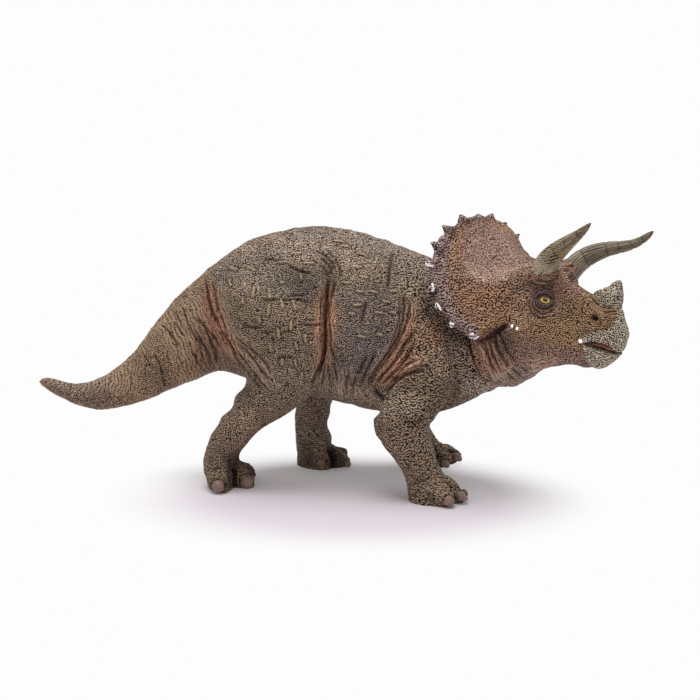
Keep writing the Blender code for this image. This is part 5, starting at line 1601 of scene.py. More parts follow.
def shape_body(skin):
    """Folds, bars and lumps of trunk, tail and legs, with the ways that fine wrinkles run."""
    skin.look(Matrix())
    tree = piece_tree(skin.piece)
    points = skin.points
    fold_both_sides(skin, tree, FOLD_PIXELS, Matrix())
    part_toes(skin, tree)
    for pixels in BAR_PIXELS:
        for line in both_sides(tree, pixels, Matrix()):
            raise_bar(skin, line)
    for flow in FLOW_PIXELS:
        skin.lead(*flow)
    z = points[:, 2]
    below = smoothstep(*LOWER_LEG_TOPS, z) * smoothstep(*LOWER_LEG_BOTTOMS, z)
    skin.flow_share *= 1 - smoothstep(*LEG_FLOW_HEIGHTS, z)
    wins = below > skin.flow_share
    skin.flow[wins] = z[wins] / LOWER_LEG_SPACING
    skin.flow_share[wins] = LOWER_LEG_FLOW_SHARE * below[wins]
    skin.pebble = smoothstep(*PEBBLE_PLACES, points[:, 0])
    lumps = np.tanh(noise_at(points, LUMP_WAVE))
    skin.relief = LUMP_RELIEF_SHARE * lumps * (1 - skin.plain)
    skin.height += BODY_LUMP_HEIGHT * lumps * (1 - skin.plain)
    skin.height += BODY_SWELL_HEIGHT * noise_at(points, BODY_SWELL_WAVE)


def paint_body(skin):
    points = skin.points
    x, z = points[:, 0], points[:, 2]
    skin.brush(HIDE_TAIL_COLOUR, smoothstep(*TAIL_PAINT_PLACES, x))
    for outline, colour, feather, strength in BODY_PATCH_PIXELS + NECK_PATCH_PIXELS:
        skin.patch(outline, colour, feather, strength * smoothstep(*BODY_PATCH_HEIGHTS, z))
    skin.brush(
        HIDE_LEG_COLOUR, smoothstep(*LEG_PAINT_HEIGHTS, z) * smoothstep(*LEG_PAINT_PLACES, x)
    )
    for side, outline, colour, feather, strength in LEG_PATCH_PIXELS:
        share = patch_share(skin.true_pixels, outline, feather) * (skin.far == (side > 0))
        skin.brush(colour, strength * share * smoothstep(*LEG_PATCH_HEIGHTS, z))
    skin.brush(BAR_COLOUR, BAR_PAINT_SHARE * smoothstep(*BAR_EDGE_SHARES, skin.plain))
    broad = np.clip(noise_at(points, MOTTLE_WAVE), -MOTTLE_LIMIT, MOTTLE_LIMIT)
    skin.paint *= (1 + MOTTLE_SHARE * broad)[:, None]


def shape_head(skin):
    """Dish, folds, eye sockets, nostrils, studs and beak of the head."""
    skin.look(HEAD_PLACE)
    nudge(skin, HEAD_PLACE, HEAD_MOVES)
    nudge(skin, HEAD_PLACE, FAR_HEAD_MOVES, 1)
    skin.relay()
    tree = piece_tree(skin.piece)
    points = skin.points
    skin.look(HEAD_PLACE)
    fold_both_sides(skin, tree, HEAD_FOLD_PIXELS, HEAD_PLACE)
    facing = skin.normals @ np.array(FRILL_PLACE.to_3x3() @ FRILL_BACK)
    front = smoothstep(*FRILL_FRONT_SHARES, facing)
    dish = patch_share(skin.pixels, HEAD_PATCH_PIXELS[1][0], DISH_FEATHER) * front
    skin.height -= DISH_DEPTH * dish
    gap, _ = reach_to(skin.pixels, np.array(RIM_PIXELS, float))
    skin.height += RIM_HEIGHT * np.exp(-((gap / RIM_WIDTH) ** 2)) * front
    gap, _ = reach_to(skin.pixels, np.array(DISH_CENTRE_PIXELS, float))
    skin.flow = np.where(dish > 0, gap / DISH_SPACING_PIXELS, 0)
    skin.flow_share = DISH_FLOW_SHARE * dish
    low_dish = patch_share(skin.pixels, HEAD_PATCH_PIXELS[2][0], LOW_DISH_FEATHER)
    skin.plain = DISH_PLAIN_SHARE * dish + LOW_DISH_PLAIN_SHARE * low_dish
    for flow in HEAD_FLOW_PIXELS:
        skin.lead(*flow)
    for (x, y), radius, depth in DENT_PIXELS:
        pixels = ((x, y), (x + DENT_STEP_PIXELS[0], y + DENT_STEP_PIXELS[1]))
        for spots in both_sides(tree, pixels, HEAD_PLACE):
            near = near_box(points, spots, BRUSH_WIDTHS * radius)
            gap, _ = reach_to(points[near], spots)
            dent = np.exp(-((gap / radius) ** 4))
            skin.height[near] -= depth * dent
            skin.crease[near] = np.maximum(skin.crease[near], dent)
            skin.brush_near(near, DARK_COLOUR, dent)
    skin.beak = patch_share(skin.pixels, BEAK_OUTLINE_PIXELS, BEAK_FEATHER)
    skin.height += BEAK_HEIGHT * skin.beak
    skin.flow_share *= 1 - skin.beak
    for x, y, radius in WHITE_BUMP_PIXELS:
        size = radius / PIXELS_PER_MILLIMETRE / 1000
        for spots in both_sides(tree, ((x, y), (x + BUMP_STEP_PIXELS, y)), HEAD_PLACE):
            near = near_box(points, spots, BUMP_REACH)
            gap, _ = reach_to(points[near], spots)
            bump = np.sqrt(np.clip(1 - (gap / size) ** 2, 0, 1))
            skin.height[near] += BUMP_HEIGHT_SHARE * size * bump
            skin.plain[near] = np.maximum(skin.plain[near], smoothstep(*BUMP_PLAIN_SHARES, bump))
    frill = patch_share(skin.pixels, HEAD_PATCH_PIXELS[0][0], FRILL_FEATHER)
    skin.pebble = frill * (FRILL_PEBBLE_SHARE - DISH_PEBBLE_SHARE * dish) * (1 - low_dish)
    lumps = np.tanh(noise_at(points, LUMP_WAVE))
    skin.relief = LUMP_RELIEF_SHARE * lumps
    skin.height += HEAD_LUMP_HEIGHT * lumps
    skin.height += HEAD_SWELL_HEIGHT * noise_at(points, HEAD_SWELL_WAVE)


def far_neck(skin):
    """1 on the far side's points that are off the frill, 0 elsewhere."""
    turns = np.linspace(-FRILL_HALF_SWEEP, FRILL_HALF_SWEEP, FRILL_SPANS)
    shares = np.linspace(*FRILL_CHECK_SHARES, FRILL_CHECK_RINGS)
    spots = [FRILL_PLACE @ frill_spot(turn, share) for turn in turns for share in shares]
    tree = KDTree(len(spots))
    for index, spot in enumerate(spots):
        tree.insert(spot, index)
    tree.balance()
    found = np.zeros(len(skin.points))
    for index in np.flatnonzero(skin.far):
        found[index] = tree.find(skin.points[index])[2] > FRILL_REACH
    return found


def whiten(skin, edge):
    """Smooth white paint on an edge."""
    skin.brush(WHITE_COLOUR, edge)
    skin.plain = np.maximum(skin.plain, WHITE_PLAIN_SHARE * edge)


def paint_studs(skin):
    """Pale studs on the frill, the lower ones with white edges, mirrored where they are."""
    seen = ~skin.far * smoothstep(*FACING_SHARES, skin.normals @ np.array(VIEW_BACK))
    for pixel in WHITE_STUD_PIXELS:
        gap = pixel_gap(skin.pixels, *pixel)
        skin.brush(STUD_COLOUR, WHITE_STUD_SHARE * smoothstep(*WHITE_STUD_REACH, gap) * seen)
    for line in WHITE_EDGE_PIXELS:
        gap, _ = reach_to(skin.pixels, np.array(line, float))
        whiten(skin, smoothstep(*WHITE_EDGE_REACH, gap) * seen)
    for pixel in STUD_PIXELS[:-WHITE_STUDS]:
        gap = pixel_gap(skin.true_pixels, *pixel)
        skin.brush(STUD_COLOUR, STUD_SHARE * smoothstep(*STUD_REACH, gap))
    for _, tip, is_mirrored in spike_places():
        if is_mirrored:
            gap = np.linalg.norm(skin.points - np.array(tip), axis=1)
            skin.brush(STUD_COLOUR, MIRRORED_STUD_SHARE * smoothstep(*MIRRORED_STUD_REACH, gap))
            whiten(skin, smoothstep(*MIRRORED_EDGE_REACH, gap))


def paint_head(skin):
    off_frill = far_neck(skin)
    for outline, colour, feather, strength in HEAD_PATCH_PIXELS[:FRILL_PATCHES]:
        skin.patch(outline, colour, feather, strength * (1 - off_frill))
    for patch in HEAD_PATCH_PIXELS[FRILL_PATCHES:] + NECK_PATCH_PIXELS:
        skin.patch(*patch)
    across, down, wide, high = EYE_PATCH_PIXELS
    gap = np.hypot((skin.pixels[:, 0] - across) / wide, (skin.pixels[:, 1] - down) / high)
    skin.brush(EYE_RING_COLOUR, EYE_PATCH_STRENGTH_SHARE * smoothstep(*EYE_PATCH_SHARES, gap))
    skin.brush(BEAK_COLOUR, skin.beak)
    paint_studs(skin)
    outer, inner = BUMP_PAINT_MARGINS
    for across, down, radius in WHITE_BUMP_PIXELS:
        gap = pixel_gap(skin.pixels, across, down)
        share = smoothstep(radius + outer, radius - inner, gap)
        skin.brush(WHITE_COLOUR, share * (skin.plain > BUMP_PLAIN_LEVEL))


def join_neck(head, body):
    """Runs the head's skin into the body's, so that height and paint meet at the neck's seam."""
    tree = piece_tree(body.piece)
    ahead = np.array(NECK_SEAM.to_3x3() @ Vector((1, 0, 0)))
    off = (head.points - np.array(NECK_SEAM.translation)) @ ahead
    faces = body.piece.data.polygons
    for index in np.flatnonzero((off > -NECK_BLEND_REACH) & (off < NECK_BLEND_REACH)):
        spot, _, face, gap = tree.find_nearest(head.points[index])
        under = smoothstep(*THROAT_HEIGHTS, head.points[index][2]) * smoothstep(*THROAT_GAPS, gap)
        close = max(smoothstep(NECK_BLEND_GAP, 0, gap), under)
        share = smoothstep(NECK_BLEND_REACH, 0, off[index]) * close
        source = faces[face].vertices[0]
        head.points[index] += share * (np.array(spot) - head.points[index])
        head.height[index] *= 1 - share
        head.paint[index] += share * (body.paint[source] - head.paint[index])
        for name in LAYERS:
            layer, other = getattr(head, name), getattr(body, name)
            layer[index] += share * (other[source] - layer[index])


def cut_at_ground(piece):
    low = (-CUTTER_REACH, -CUTTER_REACH, GROUND_HEIGHT)
    cut(piece, "INTERSECT", block(low, (CUTTER_REACH, CUTTER_REACH, CUTTER_REACH)))


def split_body(body):
    """Cuts the skin along the seams into the trunk's halves, the tail and the legs."""
    gap = SEAM_GAP / 2
    cut_at_ground(body)
    pieces = {}
    tail = copy_of(body, "tail_hide")
    cut(tail, "INTERSECT", tail_zone(-gap))
    pieces["tail"] = tail
    cut(body, "DIFFERENCE", tail_zone(gap))
    cut(body, "INTERSECT", half_space(NECK_SEAM, False, gap))
    for name, side, *_ in LEGS:
        if name.startswith("hind"):
            zone = (side, HIP_POCKET_FLOOR, HIP_POCKET_SHARES, HIND_LOWER_SHARES)
        else:
            zone = (side, SHOULDER_POCKET_FLOOR, SHOULDER_POCKET_SHARES, FORE_LOWER_SHARES)
        leg = copy_of(body, name + "_hide")
        cut(leg, "INTERSECT", leg_zone(*zone, -gap))
        pieces[name] = leg
        cut(body, "DIFFERENCE", leg_zone(*zone, gap))
    for name, side in (("torso_right_shell", -1), ("torso_left_shell", 1)):
        half = copy_of(body, name.replace("shell", "hide"))
        place = Matrix.Rotation(side * math.pi / 2, 4, "Z")
        cut(half, "INTERSECT", half_space(place, True, gap))
        pieces[name] = half
    bpy.data.objects.remove(body)
    return pieces


def jaw_prism(tree, pixels, margin):
    """A cutter right through the head whose outline on the near side is given by pixels."""
    inverse = HEAD_PLACE.inverted()
    flank = [inverse @ Vector(spot) for spot in on_skin(tree, pixels)]
    outline = [(spot.x, spot.z) for spot in flank]
    outline += [(outline[-1][0], -HEAD_DEPTH), (1.2 * HEAD_LENGTH, -HEAD_DEPTH)]
    outline += [(1.2 * HEAD_LENGTH, outline[0][1])]
    return prism(grow(outline, margin), -HEAD_WIDTH, HEAD_WIDTH, HEAD_PLACE)


def split_head(head, tree):
    mesh = bmesh.new()
    add_loft(mesh, trunk_rings(-FRILL_CLEARANCE))
    behind = make_object("behind", mesh)
    cut(behind, "INTERSECT", half_space(NECK_SEAM, False, -SEAM_GAP / 2))
    cut(head, "DIFFERENCE", behind)
    jaw = copy_of(head, "lower_beak")
    cut(jaw, "INTERSECT", jaw_prism(tree, LOWER_LIP_PIXELS + JAW_REAR_PIXELS, 0.0))
    cut(head, "DIFFERENCE", jaw_prism(tree, UPPER_LIP_PIXELS + JAW_REAR_PIXELS, SEAM_GAP))
    head.name = "head_hide"
    return {"head": head, "lower_jaw": jaw}


def fill_cut_layers(piece):
    """Gives points that a cut made the layers of their nearest point of the skin."""
    data = piece.data
    marks = read_values(data.attributes["kept"].data, "value")
    made, kept = np.flatnonzero(marks < 0.5), np.flatnonzero(marks >= 0.5)
    spots = read_values(data.vertices, "co", 3)
    tree = KDTree(len(kept))
    for index in kept:
        tree.insert(spots[index], index)
    tree.balance()
    source = np.array([tree.find(spots[index])[1] for index in made], int)
    for name, field, width in (("paint", "color", 4), *((name, "value", 1) for name in LAYERS)):
        values = read_values(data.attributes[name].data, field, width)
        values[made] = values[source]
        write_values(data.attributes[name].data, field, values)
    data.attributes.remove(data.attributes["kept"])


# Materials


def new_material(name):
    material = bpy.data.materials.new(name)
    material.use_nodes = True
    tree = material.node_tree
    return material, tree, tree.nodes["Principled BSDF"]


def add_node(tree, kind, inputs=None, **settings):
    node = tree.nodes.new(kind)
    for setting, value in settings.items():
        setattr(node, setting, value)
    for socket, value in (inputs or {}).items():
        if isinstance(value, bpy.types.NodeSocket):
            tree.links.new(value, node.inputs[socket])
        else:
            node.inputs[socket].default_value = value
    return node


def ramp(tree, factor, stops):
    """A colour ramp through (place, colour) stops."""
    node = add_node(tree, "ShaderNodeValToRGB", {"Fac": factor})
    elements = node.color_ramp.elements
    while len(elements) < len(stops):
        elements.new(0.5)
    for element, (place, colour) in zip(elements, stops):
        element.position = place
        element.color = (*colour, 1) if len(colour) == 3 else colour
    return node.outputs["Color"]


def math_node(tree, operation, first, second=0.0, third=0.0):
    return add_node(tree, "ShaderNodeMath", {0: first, 1: second, 2: third},
                    operation=operation).outputs[0]


def mix_value(tree, share, first, second):
    node = add_node(tree, "ShaderNodeMix", {0: share, 2: first, 3: second}, data_type="FLOAT")
    return node.outputs[0]


def mix_colour(tree, share, first, second, blend="MIX"):
    node = add_node(tree, "ShaderNodeMix", {0: share, 6: first, 7: second}, data_type="RGBA",
                    blend_type=blend)
    return node.outputs[2]


def attribute(tree, name, output="Fac"):
    return add_node(tree, "ShaderNodeAttribute", attribute_name=name).outputs[output]


def noise(tree, place, scale, detail):
    return add_node(
        tree, "ShaderNodeTexNoise", {"Vector": place, "Scale": scale, "Detail": detail}
    ).outputs["Fac"]


def bumped(tree, shader, strength, distance, height):
    """Lets a level between 0 and 1 stand up by a distance on a shader's surface."""
    bump = add_node(
        tree, "ShaderNodeBump", {"Strength": strength, "Distance": distance, "Height": height}
    )
    tree.links.new(bump.outputs["Normal"], shader.inputs["Normal"])


def faded(tree, value, places):
    """0 before the first place, 1 after the second and a soft step between."""
    return add_node(
        tree, "ShaderNodeMapRange", {"Value": value, "From Min": places[0], "From Max": places[1]},
        interpolation_type="SMOOTHSTEP",
    ).outputs["Result"]


def hide_material(name):
    """Painted hide: dark grooves between light ridges, in a maze or along the folds, partly wash and
    dry-brushing and partly painted shade and highlight.
    """
    material, tree, shader = new_material(name)
    place = add_node(tree, "ShaderNodeTexCoord").outputs["Object"]
    paint = attribute(tree, "paint", "Color")
    # A maze of one wavelength, coarser where the hide is pebbled
    coarse = math_node(tree, "MULTIPLY", attribute(tree, "pebble"), PEBBLE_SHARE)
    pace = math_node(tree, "MULTIPLY", math_node(tree, "SUBTRACT", 1.0, coarse), MAZE_WAVES)
    maze = add_node(
        tree, "ShaderNodeTexGabor",
        {"Vector": place, "Scale": 1 / (MAZE_WAVES * MAZE_WAVE), "Frequency": pace,
         "Anisotropy": 0.0},
        gabor_type="3D",
    ).outputs["Phase"]
    maze = math_node(tree, "ABSOLUTE", math_node(tree, "MULTIPLY_ADD", maze, 2.0, -1.0))
    # Wrinkles that run along the folds
    sway = math_node(tree, "MULTIPLY", noise(tree, place, 1 / RUN_SWAY_WAVE, 1.0), RUN_SWAY)
    phase = math_node(tree, "ADD", attribute(tree, "flow"), sway)
    runs = math_node(tree, "SINE", math_node(tree, "MULTIPLY", phase, math.pi))
    runs = math_node(tree, "MULTIPLY", math_node(tree, "ABSOLUTE", runs), RUN_GAIN)
    share = math_node(tree, "MULTIPLY", attribute(tree, "flow_share"), RUN_SHARE)
    level = mix_value(tree, share, maze, runs)
    level = math_node(tree, "MAXIMUM", level, attribute(tree, "plain"))
    level = add_node(tree, "ShaderNodeClamp", {"Value": level}).outputs[0]
    # Dark grooves and light ridges: partly wash and dry-brushing, partly painted shade and highlight
    washed = mix_colour(tree, 1.0, paint, ramp(tree, level, HIDE_STOPS), "MULTIPLY")
    dark, light = HIDE_RELIEF_SHARES
    relief = add_node(
        tree, "ShaderNodeMapRange",
        {"Value": attribute(tree, "relief"), "From Min": -1.0, "From Max": 1.0, "To Min": dark,
         "To Max": light},
    ).outputs["Result"]
    washed = mix_colour(tree, 1.0, washed, relief, "MULTIPLY")
    # Creases darkened: partly the toy's wash, partly painted shade
    crease = math_node(tree, "MULTIPLY", attribute(tree, "crease"), HIDE_CREASE_SHARE)
    darkened = mix_colour(tree, 1.0, washed, HIDE_CREASE_COLOUR, "MULTIPLY")
    washed = mix_colour(tree, crease, washed, darkened)
    tree.links.new(washed, shader.inputs["Base Color"])
    shader.inputs["Roughness"].default_value = HIDE_ROUGHNESS
    shader.inputs["Specular IOR Level"].default_value = HIDE_SPECULAR
    bumped(tree, shader, HIDE_BUMP_SHARE, HIDE_BUMP_HEIGHT, level)
    return material


def horn_material(name):
    """Bone-coloured horn with fine dark streaks along it, and cracks."""
    material, tree, shader = new_material(name)
    paint = attribute(tree, "paint", "Color")
    spot = add_node(
        tree, "ShaderNodeCombineXYZ",
        {"X": attribute(tree, "flow"), "Y": attribute(tree, "flow_share"), "Z": 0.0},
    ).outputs[0]
    sway = noise(tree, spot, HORN_SWAY_SCALE, 2.0)
    phase = math_node(tree, "MULTIPLY_ADD", sway, HORN_SWAY, attribute(tree, "flow"))
    streak = math_node(tree, "SINE", math_node(tree, "MULTIPLY", phase, math.pi))
    speck = noise(tree, spot, HORN_SPECK_SCALE, 1.0)
    speck = math_node(tree, "MULTIPLY_ADD", speck, HORN_SPECK, -HORN_SPECK / 2)
    streak = math_node(tree, "ADD", math_node(tree, "ABSOLUTE", streak), speck)
    washed = mix_colour(tree, 1.0, paint, ramp(tree, streak, HORN_STOPS), "MULTIPLY")
    washed = mix_colour(tree, attribute(tree, "crease"), washed, HORN_CRACK_COLOUR)
    tree.links.new(washed, shader.inputs["Base Color"])
    shader.inputs["Roughness"].default_value = HORN_ROUGHNESS
    bumped(tree, shader, HORN_BUMP_SHARE, HORN_BUMP_HEIGHT, streak)
    return material


def plain_material(name, grain, roughness):
    """Paint from the points with a faint mottle."""
    material, tree, shader = new_material(name)
    place = add_node(tree, "ShaderNodeTexCoord").outputs["Object"]
    mottle = ramp(tree, noise(tree, place, 1 / grain, 2.0), MOTTLE_STOPS)
    colour = mix_colour(tree, 1.0, attribute(tree, "paint", "Color"), mottle, "MULTIPLY")
    tree.links.new(colour, shader.inputs["Base Color"])
    shader.inputs["Roughness"].default_value = roughness
    return material


def tube(name, rows, sides):
    """A closed tube through (centre, ahead radius vector, aside radius vector) rows."""
    rings = []
    for centre, ahead, aside in rows:
        turns = (math.tau * step / sides for step in range(sides))
        rings.append([centre + ahead * math.cos(t) + aside * math.sin(t) for t in turns])
    mesh = bmesh.new()
    add_loft(mesh, rings)
    return make_object(name, mesh)


def horn_line(shares, rows):
    """Centres and radii of a brow horn's picture rows, at the depths of the solid's own line."""
    path = [tuple(head_point(*(Vector(share) * BROW_HORN_LENGTH))) for share in shares]
    spots = smooth_rows(path, HORN_STEPS)
    seen = pixels_of(np.array(spots))
    centres, radii = [], []
    for across, down, radius in rows:
        nearest = int(pixel_gap(seen, across, down).argmin())
        depth = depth_of(Vector(spots[nearest]))
        centres.append(at_depth((across, down), depth))
        radii.append(radius * depth / FOCAL_PIXELS)
    return centres, radii


def add_collar(mesh, shares, rows):
    """A cuff of skin round the foot of a brow horn."""
    centres, radii = horn_line(shares, rows)
    axis = (centres[-1] - centres[0]).to_track_quat("Z", "Y").to_matrix()
    turns = [math.tau * step / RING_POINTS for step in range(RING_POINTS)]
    add_loft(mesh, [
        [centre + axis @ Vector((radius * math.cos(t), radius * math.sin(t), 0)) for t in turns]
        for centre, radius in zip(centres, radii)
    ])


def horn_piece(name, shares, pixels, cracks, painted_shade):
    """A brow horn along the picture's centre line, at the depth of the solid's own line, its paint
    darkened by a share as painted shade.
    """
    rows = smooth_rows(pixels, HORN_STEPS)
    centres, radii = horn_line(shares, rows)
    found = []
    for index, (centre, radius) in enumerate(zip(centres, radii)):
        along = centres[min(index + 1, len(rows) - 1)] - centres[max(index - 1, 0)]
        turn = along.to_track_quat("Z", "Y").to_matrix()
        found.append((centre, turn @ Vector((radius, 0, 0)), turn @ Vector((0, radius, 0))))
    sides = HORN_SIDES
    piece = tube(name, found, sides)
    skin = Skin(piece, HORN_COLOUR)
    ring, around = np.divmod(np.arange(len(skin.points)), sides)
    along = ring / (len(rows) - 1)
    skin.flow = np.where(around <= sides / 2, around, sides - around) * (HORN_STREAKS / sides)
    skin.flow_share = along * HORN_STREAK_CHANGES
    skin.brush(HORN_BASE_COLOUR, smoothstep(*HORN_BASE_SHARES, along))
    skin.brush(HORN_TIP_COLOUR, smoothstep(*HORN_TIP_SHARES, along))
    # Painted shade: the paint is darkened by this share
    skin.paint *= painted_shade
    sway = noise_at(skin.points, CRACK_SWAY_WAVE) * CRACK_SWAY_SHARE
    for spot in cracks:
        groove = np.exp(-(((along + sway - spot) / CRACK_WIDTH_SHARE) ** 2))
        skin.height -= CRACK_DEPTH * groove
        skin.crease = np.maximum(skin.crease, CRACK_CREASE_SHARE * groove)
    skin.height *= smoothstep(*HORN_END_SHARES, along)
    skin.keep()
    return piece


def eye_pieces(tree):
    """Both eyeballs, seated in their sockets."""
    spot = Vector(on_skin(tree, (EYE_PIXEL,))[0])
    normal = tree.find_nearest(spot)[1]
    outward = (normal + VIEW_BACK * EYE_VIEW_SHARE).normalized()
    ahead = HEAD_PLACE.to_3x3() @ Vector((1, 0, EYE_LEAN_SHARE))
    ahead = (ahead - outward * ahead.dot(outward)).normalized()
    above = outward.cross(ahead)
    place = Matrix((ahead, above, outward)).transposed().to_4x4()
    place = Matrix.Translation(spot - outward * EYE_SINK) @ place
    shape = place @ Matrix.Diagonal((*EYE_RADII, 1.0))
    for name, side in (("right_eye", Matrix()), ("left_eye", mirror(HEAD_PLACE))):
        mesh = bmesh.new()
        bmesh.ops.create_icosphere(
            mesh, subdivisions=EYE_DETAIL, radius=1.0, matrix=side @ shape
        )
        piece = make_object(name, mesh)
        skin = Skin(piece, DARK_COLOUR)
        inverse = (side @ shape).inverted()
        local = np.array([inverse @ Vector(point) for point in skin.points])
        gap = np.hypot(local[:, 0], local[:, 1])
        skin.brush(EYE_COLOUR, smoothstep(*IRIS_EDGE_SHARES, gap))
        skin.brush(PUPIL_COLOUR, smoothstep(*PUPIL_EDGE_SHARES, gap))
        skin.keep()
        yield piece


def tongue_piece(tree):
    """The tongue, lying between the jaws and closing the mouth's gap."""
    path = [HEAD_PLACE.inverted() @ Vector(spot) for spot in on_skin(tree, TONGUE_PIXELS)]
    rows = [(spot.x, spot.z, width) for spot, width in zip(path, TONGUE_WIDTHS)]
    found = []
    for ahead, above, width in smooth_rows(rows, TONGUE_STEPS):
        centre = HEAD_PLACE @ Vector((ahead, 0, above))
        side = HEAD_PLACE.to_3x3() @ Vector((0, width, 0))
        found.append((centre, HEAD_PLACE.to_3x3() @ Vector((0, 0, -TONGUE_THICKNESS)), side))
    piece = tube("tongue", found, TONGUE_SIDES)
    skin = Skin(piece, TONGUE_COLOUR)
    skin.height = TONGUE_LUMP_HEIGHT * np.tanh(noise_at(skin.points, TONGUE_LUMP_WAVE))
    skin.keep()
    return piece


def nail_centre(sole, reach):
    centre = sole + reach * NAIL_REACH
    centre.z = NAIL_LEVEL
    return centre


def nail_pieces(tree):
    """The nails of each foot, as one piece a foot."""
    for name, _, shares, nails in LEGS:
        mesh = bmesh.new()
        for sole, reach, turn in list(toe_places(shares, nails))[HIDDEN_NAILS_FROM:]:
            place = Matrix.Translation(nail_centre(sole, reach)) @ turn
            place = place @ Matrix.Diagonal((*NAIL_RADII, 1.0))
            bmesh.ops.create_icosphere(mesh, subdivisions=4, radius=1.0, matrix=place)
        for foot, rows in NAIL_PIXELS:
            if foot == name:
                add_seen_balls(mesh, tree, rows, NAIL_BALLS, NAIL_SINK_SHARE, False)
        piece = make_object(name + "_nails", mesh)
        modify(piece, "REMESH", mode="VOXEL", voxel_size=NAIL_VOXEL)
        modify(piece, "SMOOTH", factor=SMOOTHING_SHARE, iterations=NAIL_SMOOTHING_STEPS)
        skin = Skin(piece, NAIL_COLOUR)
        skin.height = NAIL_LUMP_HEIGHT * noise_at(skin.points, NAIL_LUMP_WAVE)
        skin.keep()
        cut_at_ground(piece)
        fill_cut_layers(piece)
        yield piece


def nose_horn_piece(name):
    """The nose horn from its edges on the picture."""
    base = Vector((NOSE_HORN_SHARES[0] * HEAD_LENGTH, 0, NOSE_HORN_SHARES[1] * HEAD_DEPTH))
    depth = depth_of(HEAD_PLACE @ base)
    ahead = HEAD_PLACE.to_3x3() @ Vector((1, 0, 0))
    aside = HEAD_PLACE.to_3x3() @ Vector((0, 1, 0))
    rows = []
    for down, rear, front in smooth_rows(NOSE_HORN_PIXELS, NOSE_HORN_STEPS):
        reach = (front - rear) / 2 * (depth / FOCAL_PIXELS) / NOSE_HORN_TURN_SHARE
        width = min(reach * NOSE_HORN_WIDTH_SHARE, NOSE_HORN_WIDTH / 2)
        rows.append((at_depth(((rear + front) / 2, down), depth), ahead * reach, aside * width))
    piece = tube(name, rows, NOSE_HORN_SIDES)
    skin = Skin(piece, NOSE_HORN_COLOUR)
    skin.flow = noise_at(skin.points, NOSE_HORN_FLOW_WAVE)
    lumps = noise_at(skin.points, NOSE_HORN_LUMP_WAVE)
    skin.height = NOSE_HORN_LUMP_HEIGHT * np.tanh(lumps)
    skin.crease = NOSE_HORN_CREASE_SHARE * smoothstep(*NOSE_HORN_CREASE_LEVELS, -lumps)
    skin.keep()
    return piece


def settle(piece, node, material, box):
    """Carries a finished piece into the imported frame, inside the solids' box, for its solid."""
    piece.data.transform(Matrix.Translation(FIGURE_SHIFT))
    spots = read_values(piece.data.vertices, "co", 3)
    write_values(piece.data.vertices, "co", np.clip(spots, box[0], box[1]))
    piece.data.materials.clear()
    piece.data.materials.append(material)
    piece.data.shade_smooth()
    piece.data.set_sharp_from_angle(angle=SHARP_ANGLE)
    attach(piece, "root")
    if node:
        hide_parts(node)


def mix_shaders(tree, share, first, second, output):
    mixed = add_node(
        tree, "ShaderNodeMixShader", {0: share, 1: first.outputs[0], 2: second.outputs[0]}
    )
    tree.links.new(mixed.outputs[0], tree.nodes[output].inputs["Surface"])


def floor_material(name):
    """Pale paper that keeps the figure's shadow, with painted shadow darkening it in front and painted
    light lifting it behind, and turns plain white away from it.
    """
    material, tree, shader = new_material(name)
    place = add_node(tree, "ShaderNodeTexCoord").outputs["Object"]
    reach = add_node(tree, "ShaderNodeVectorMath", {0: place, 1: SHADOW_MIDDLE},
                     operation="SUBTRACT").outputs[0]
    reach = add_node(tree, "ShaderNodeVectorMath", {0: reach, 1: SHADOW_REACH},
                     operation="DIVIDE").outputs[0]
    reach = add_node(tree, "ShaderNodeVectorMath", {0: reach}, operation="LENGTH").outputs["Value"]
    # Painted shadow: the paper darkens from behind the figure to in front of it
    back = add_node(tree, "ShaderNodeSeparateXYZ", {0: place}).outputs["Y"]
    back = faded(tree, back, PAINTED_SHADOW_PLACES)
    tree.links.new(ramp(tree, back, PAINTED_SHADOW_STOPS), shader.inputs["Base Color"])
    shader.inputs["Roughness"].default_value = FLOOR_ROUGHNESS
    shader.inputs["Specular IOR Level"].default_value = 0.0
    white = add_node(tree, "ShaderNodeEmission", {"Color": WHITE_LEVEL, "Strength": 1.0})
    away = faded(tree, reach, SHADOW_FADE_SHARES)
    # Painted light: a white glow behind the figure lifts its shadow
    away = math_node(tree, "MAXIMUM", away, math_node(tree, "MULTIPLY", back, PAINTED_LIGHT_BEHIND))
    seen = add_node(tree, "ShaderNodeLightPath").outputs["Is Camera Ray"]
    away = math_node(tree, "MULTIPLY", away, seen)
    mix_shaders(tree, away, shader, white, "Material Output")
    return material


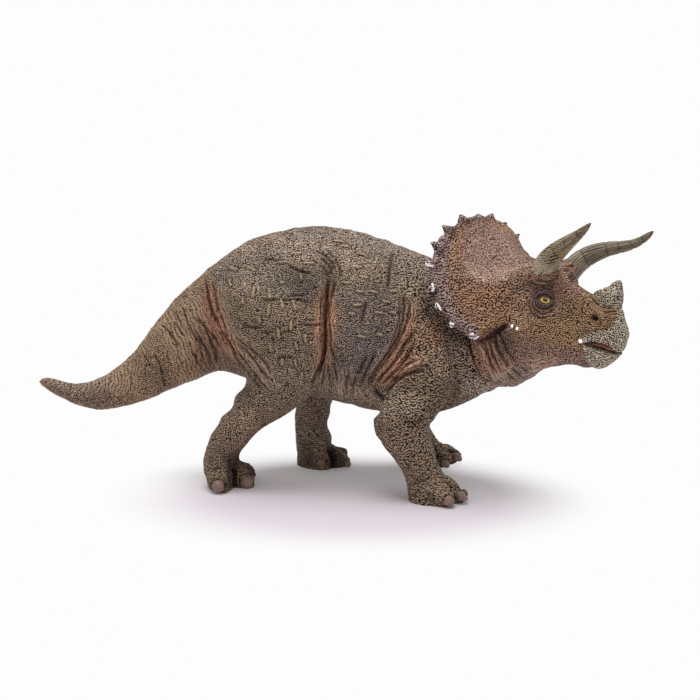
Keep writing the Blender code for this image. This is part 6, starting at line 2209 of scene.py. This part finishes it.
def add_stage():
    """A pale floor, a white surround, soft light and the photograph's camera."""
    mesh = bmesh.new()
    bmesh.ops.create_grid(mesh, x_segments=1, y_segments=1, size=FLOOR_SIZE)
    floor = make_object("floor", mesh)
    floor.data.materials.append(floor_material("floor_paper"))
    world = bpy.data.worlds.new("studio")
    world.use_nodes = True
    tree = world.node_tree
    background = tree.nodes["Background"]
    background.inputs["Color"].default_value = (1, 1, 1, 1)
    background.inputs["Strength"].default_value = SURROUND_LIGHT
    seen = add_node(tree, "ShaderNodeBackground", {"Color": WHITE_LEVEL, "Strength": 1.0})
    ray = add_node(tree, "ShaderNodeLightPath").outputs["Is Camera Ray"]
    mix_shaders(tree, ray, background, seen, "World Output")
    bpy.context.scene.world = world
    lamp = bpy.data.lights.new("softbox", "AREA")
    lamp.size = LAMP_SIZE
    lamp.energy = LAMP_POWER
    softbox = bpy.data.objects.new("softbox", lamp)
    bpy.context.scene.collection.objects.link(softbox)
    softbox.location = LAMP_PLACE
    softbox.rotation_mode = "QUATERNION"
    softbox.rotation_quaternion = (Vector(LAMP_AIM) - softbox.location).to_track_quat("-Z", "Y")
    camera = bpy.data.objects.new("camera", bpy.data.cameras.new("camera"))
    bpy.context.scene.collection.objects.link(camera)
    camera.data.lens = VIEW_LENS
    camera.data.sensor_width = SENSOR_WIDTH
    camera.data.clip_start, camera.data.clip_end = CLIP_RANGE
    place = Matrix.Translation(VIEW_TARGET + FIGURE_SHIFT + VIEW_BACK * VIEW_DISTANCE)
    camera.matrix_world = place @ Matrix((VIEW_RIGHT, VIEW_UP, VIEW_BACK)).transposed().to_4x4()
    bpy.context.scene.camera = camera
    bpy.context.scene.view_settings.view_transform = "Standard"


def corners():
    return [list(corner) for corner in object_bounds()]


def main():
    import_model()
    box = corners()
    body = Skin(make_body(), HIDE_COLOUR)
    shape_body(body)
    paint_body(body)
    body.keep()
    head = Skin(make_head(), HEAD_COLOUR)
    shape_head(head)
    paint_head(head)
    join_neck(head, body)
    head.keep()
    nails = list(nail_pieces(piece_tree(body.piece)))
    eyes = list(eye_pieces(piece_tree(head.piece)))
    tongue = tongue_piece(piece_tree(head.piece))
    hide = hide_material("hide")
    for node, piece in split_body(body.piece).items():
        fill_cut_layers(piece)
        settle(piece, node, hide, box)
    for node, piece in split_head(head.piece, piece_tree(head.piece)).items():
        fill_cut_layers(piece)
        settle(piece, node, hide, box)
    horn = horn_material("horn")
    right = horn_piece(
        "right_brow_horn", BROW_HORN_RIGHT_SHARES, NEAR_HORN_PIXELS, NEAR_HORN_CRACKS, 1.0
    )
    settle(right, "brow_horn_right", horn, box)
    left = horn_piece(
        "left_brow_horn", BROW_HORN_LEFT_SHARES, FAR_HORN_PIXELS, FAR_HORN_CRACKS, FAR_HORN_PAINTED_SHADE
    )
    settle(left, "brow_horn_left", horn, box)
    settle(nose_horn_piece("snout_horn"), "nose_horn", hide, box)
    nail = plain_material("nail", *NAIL_GLOSS)
    for piece in nails:
        settle(piece, None, nail, box)
    flesh = plain_material("tongue_flesh", *TONGUE_GLOSS)
    settle(tongue, None, flesh, box)
    gloss = plain_material("eye_gloss", *EYE_GLOSS)
    for piece in eyes:
        settle(piece, None, gloss, box)
    add_stage()


main()
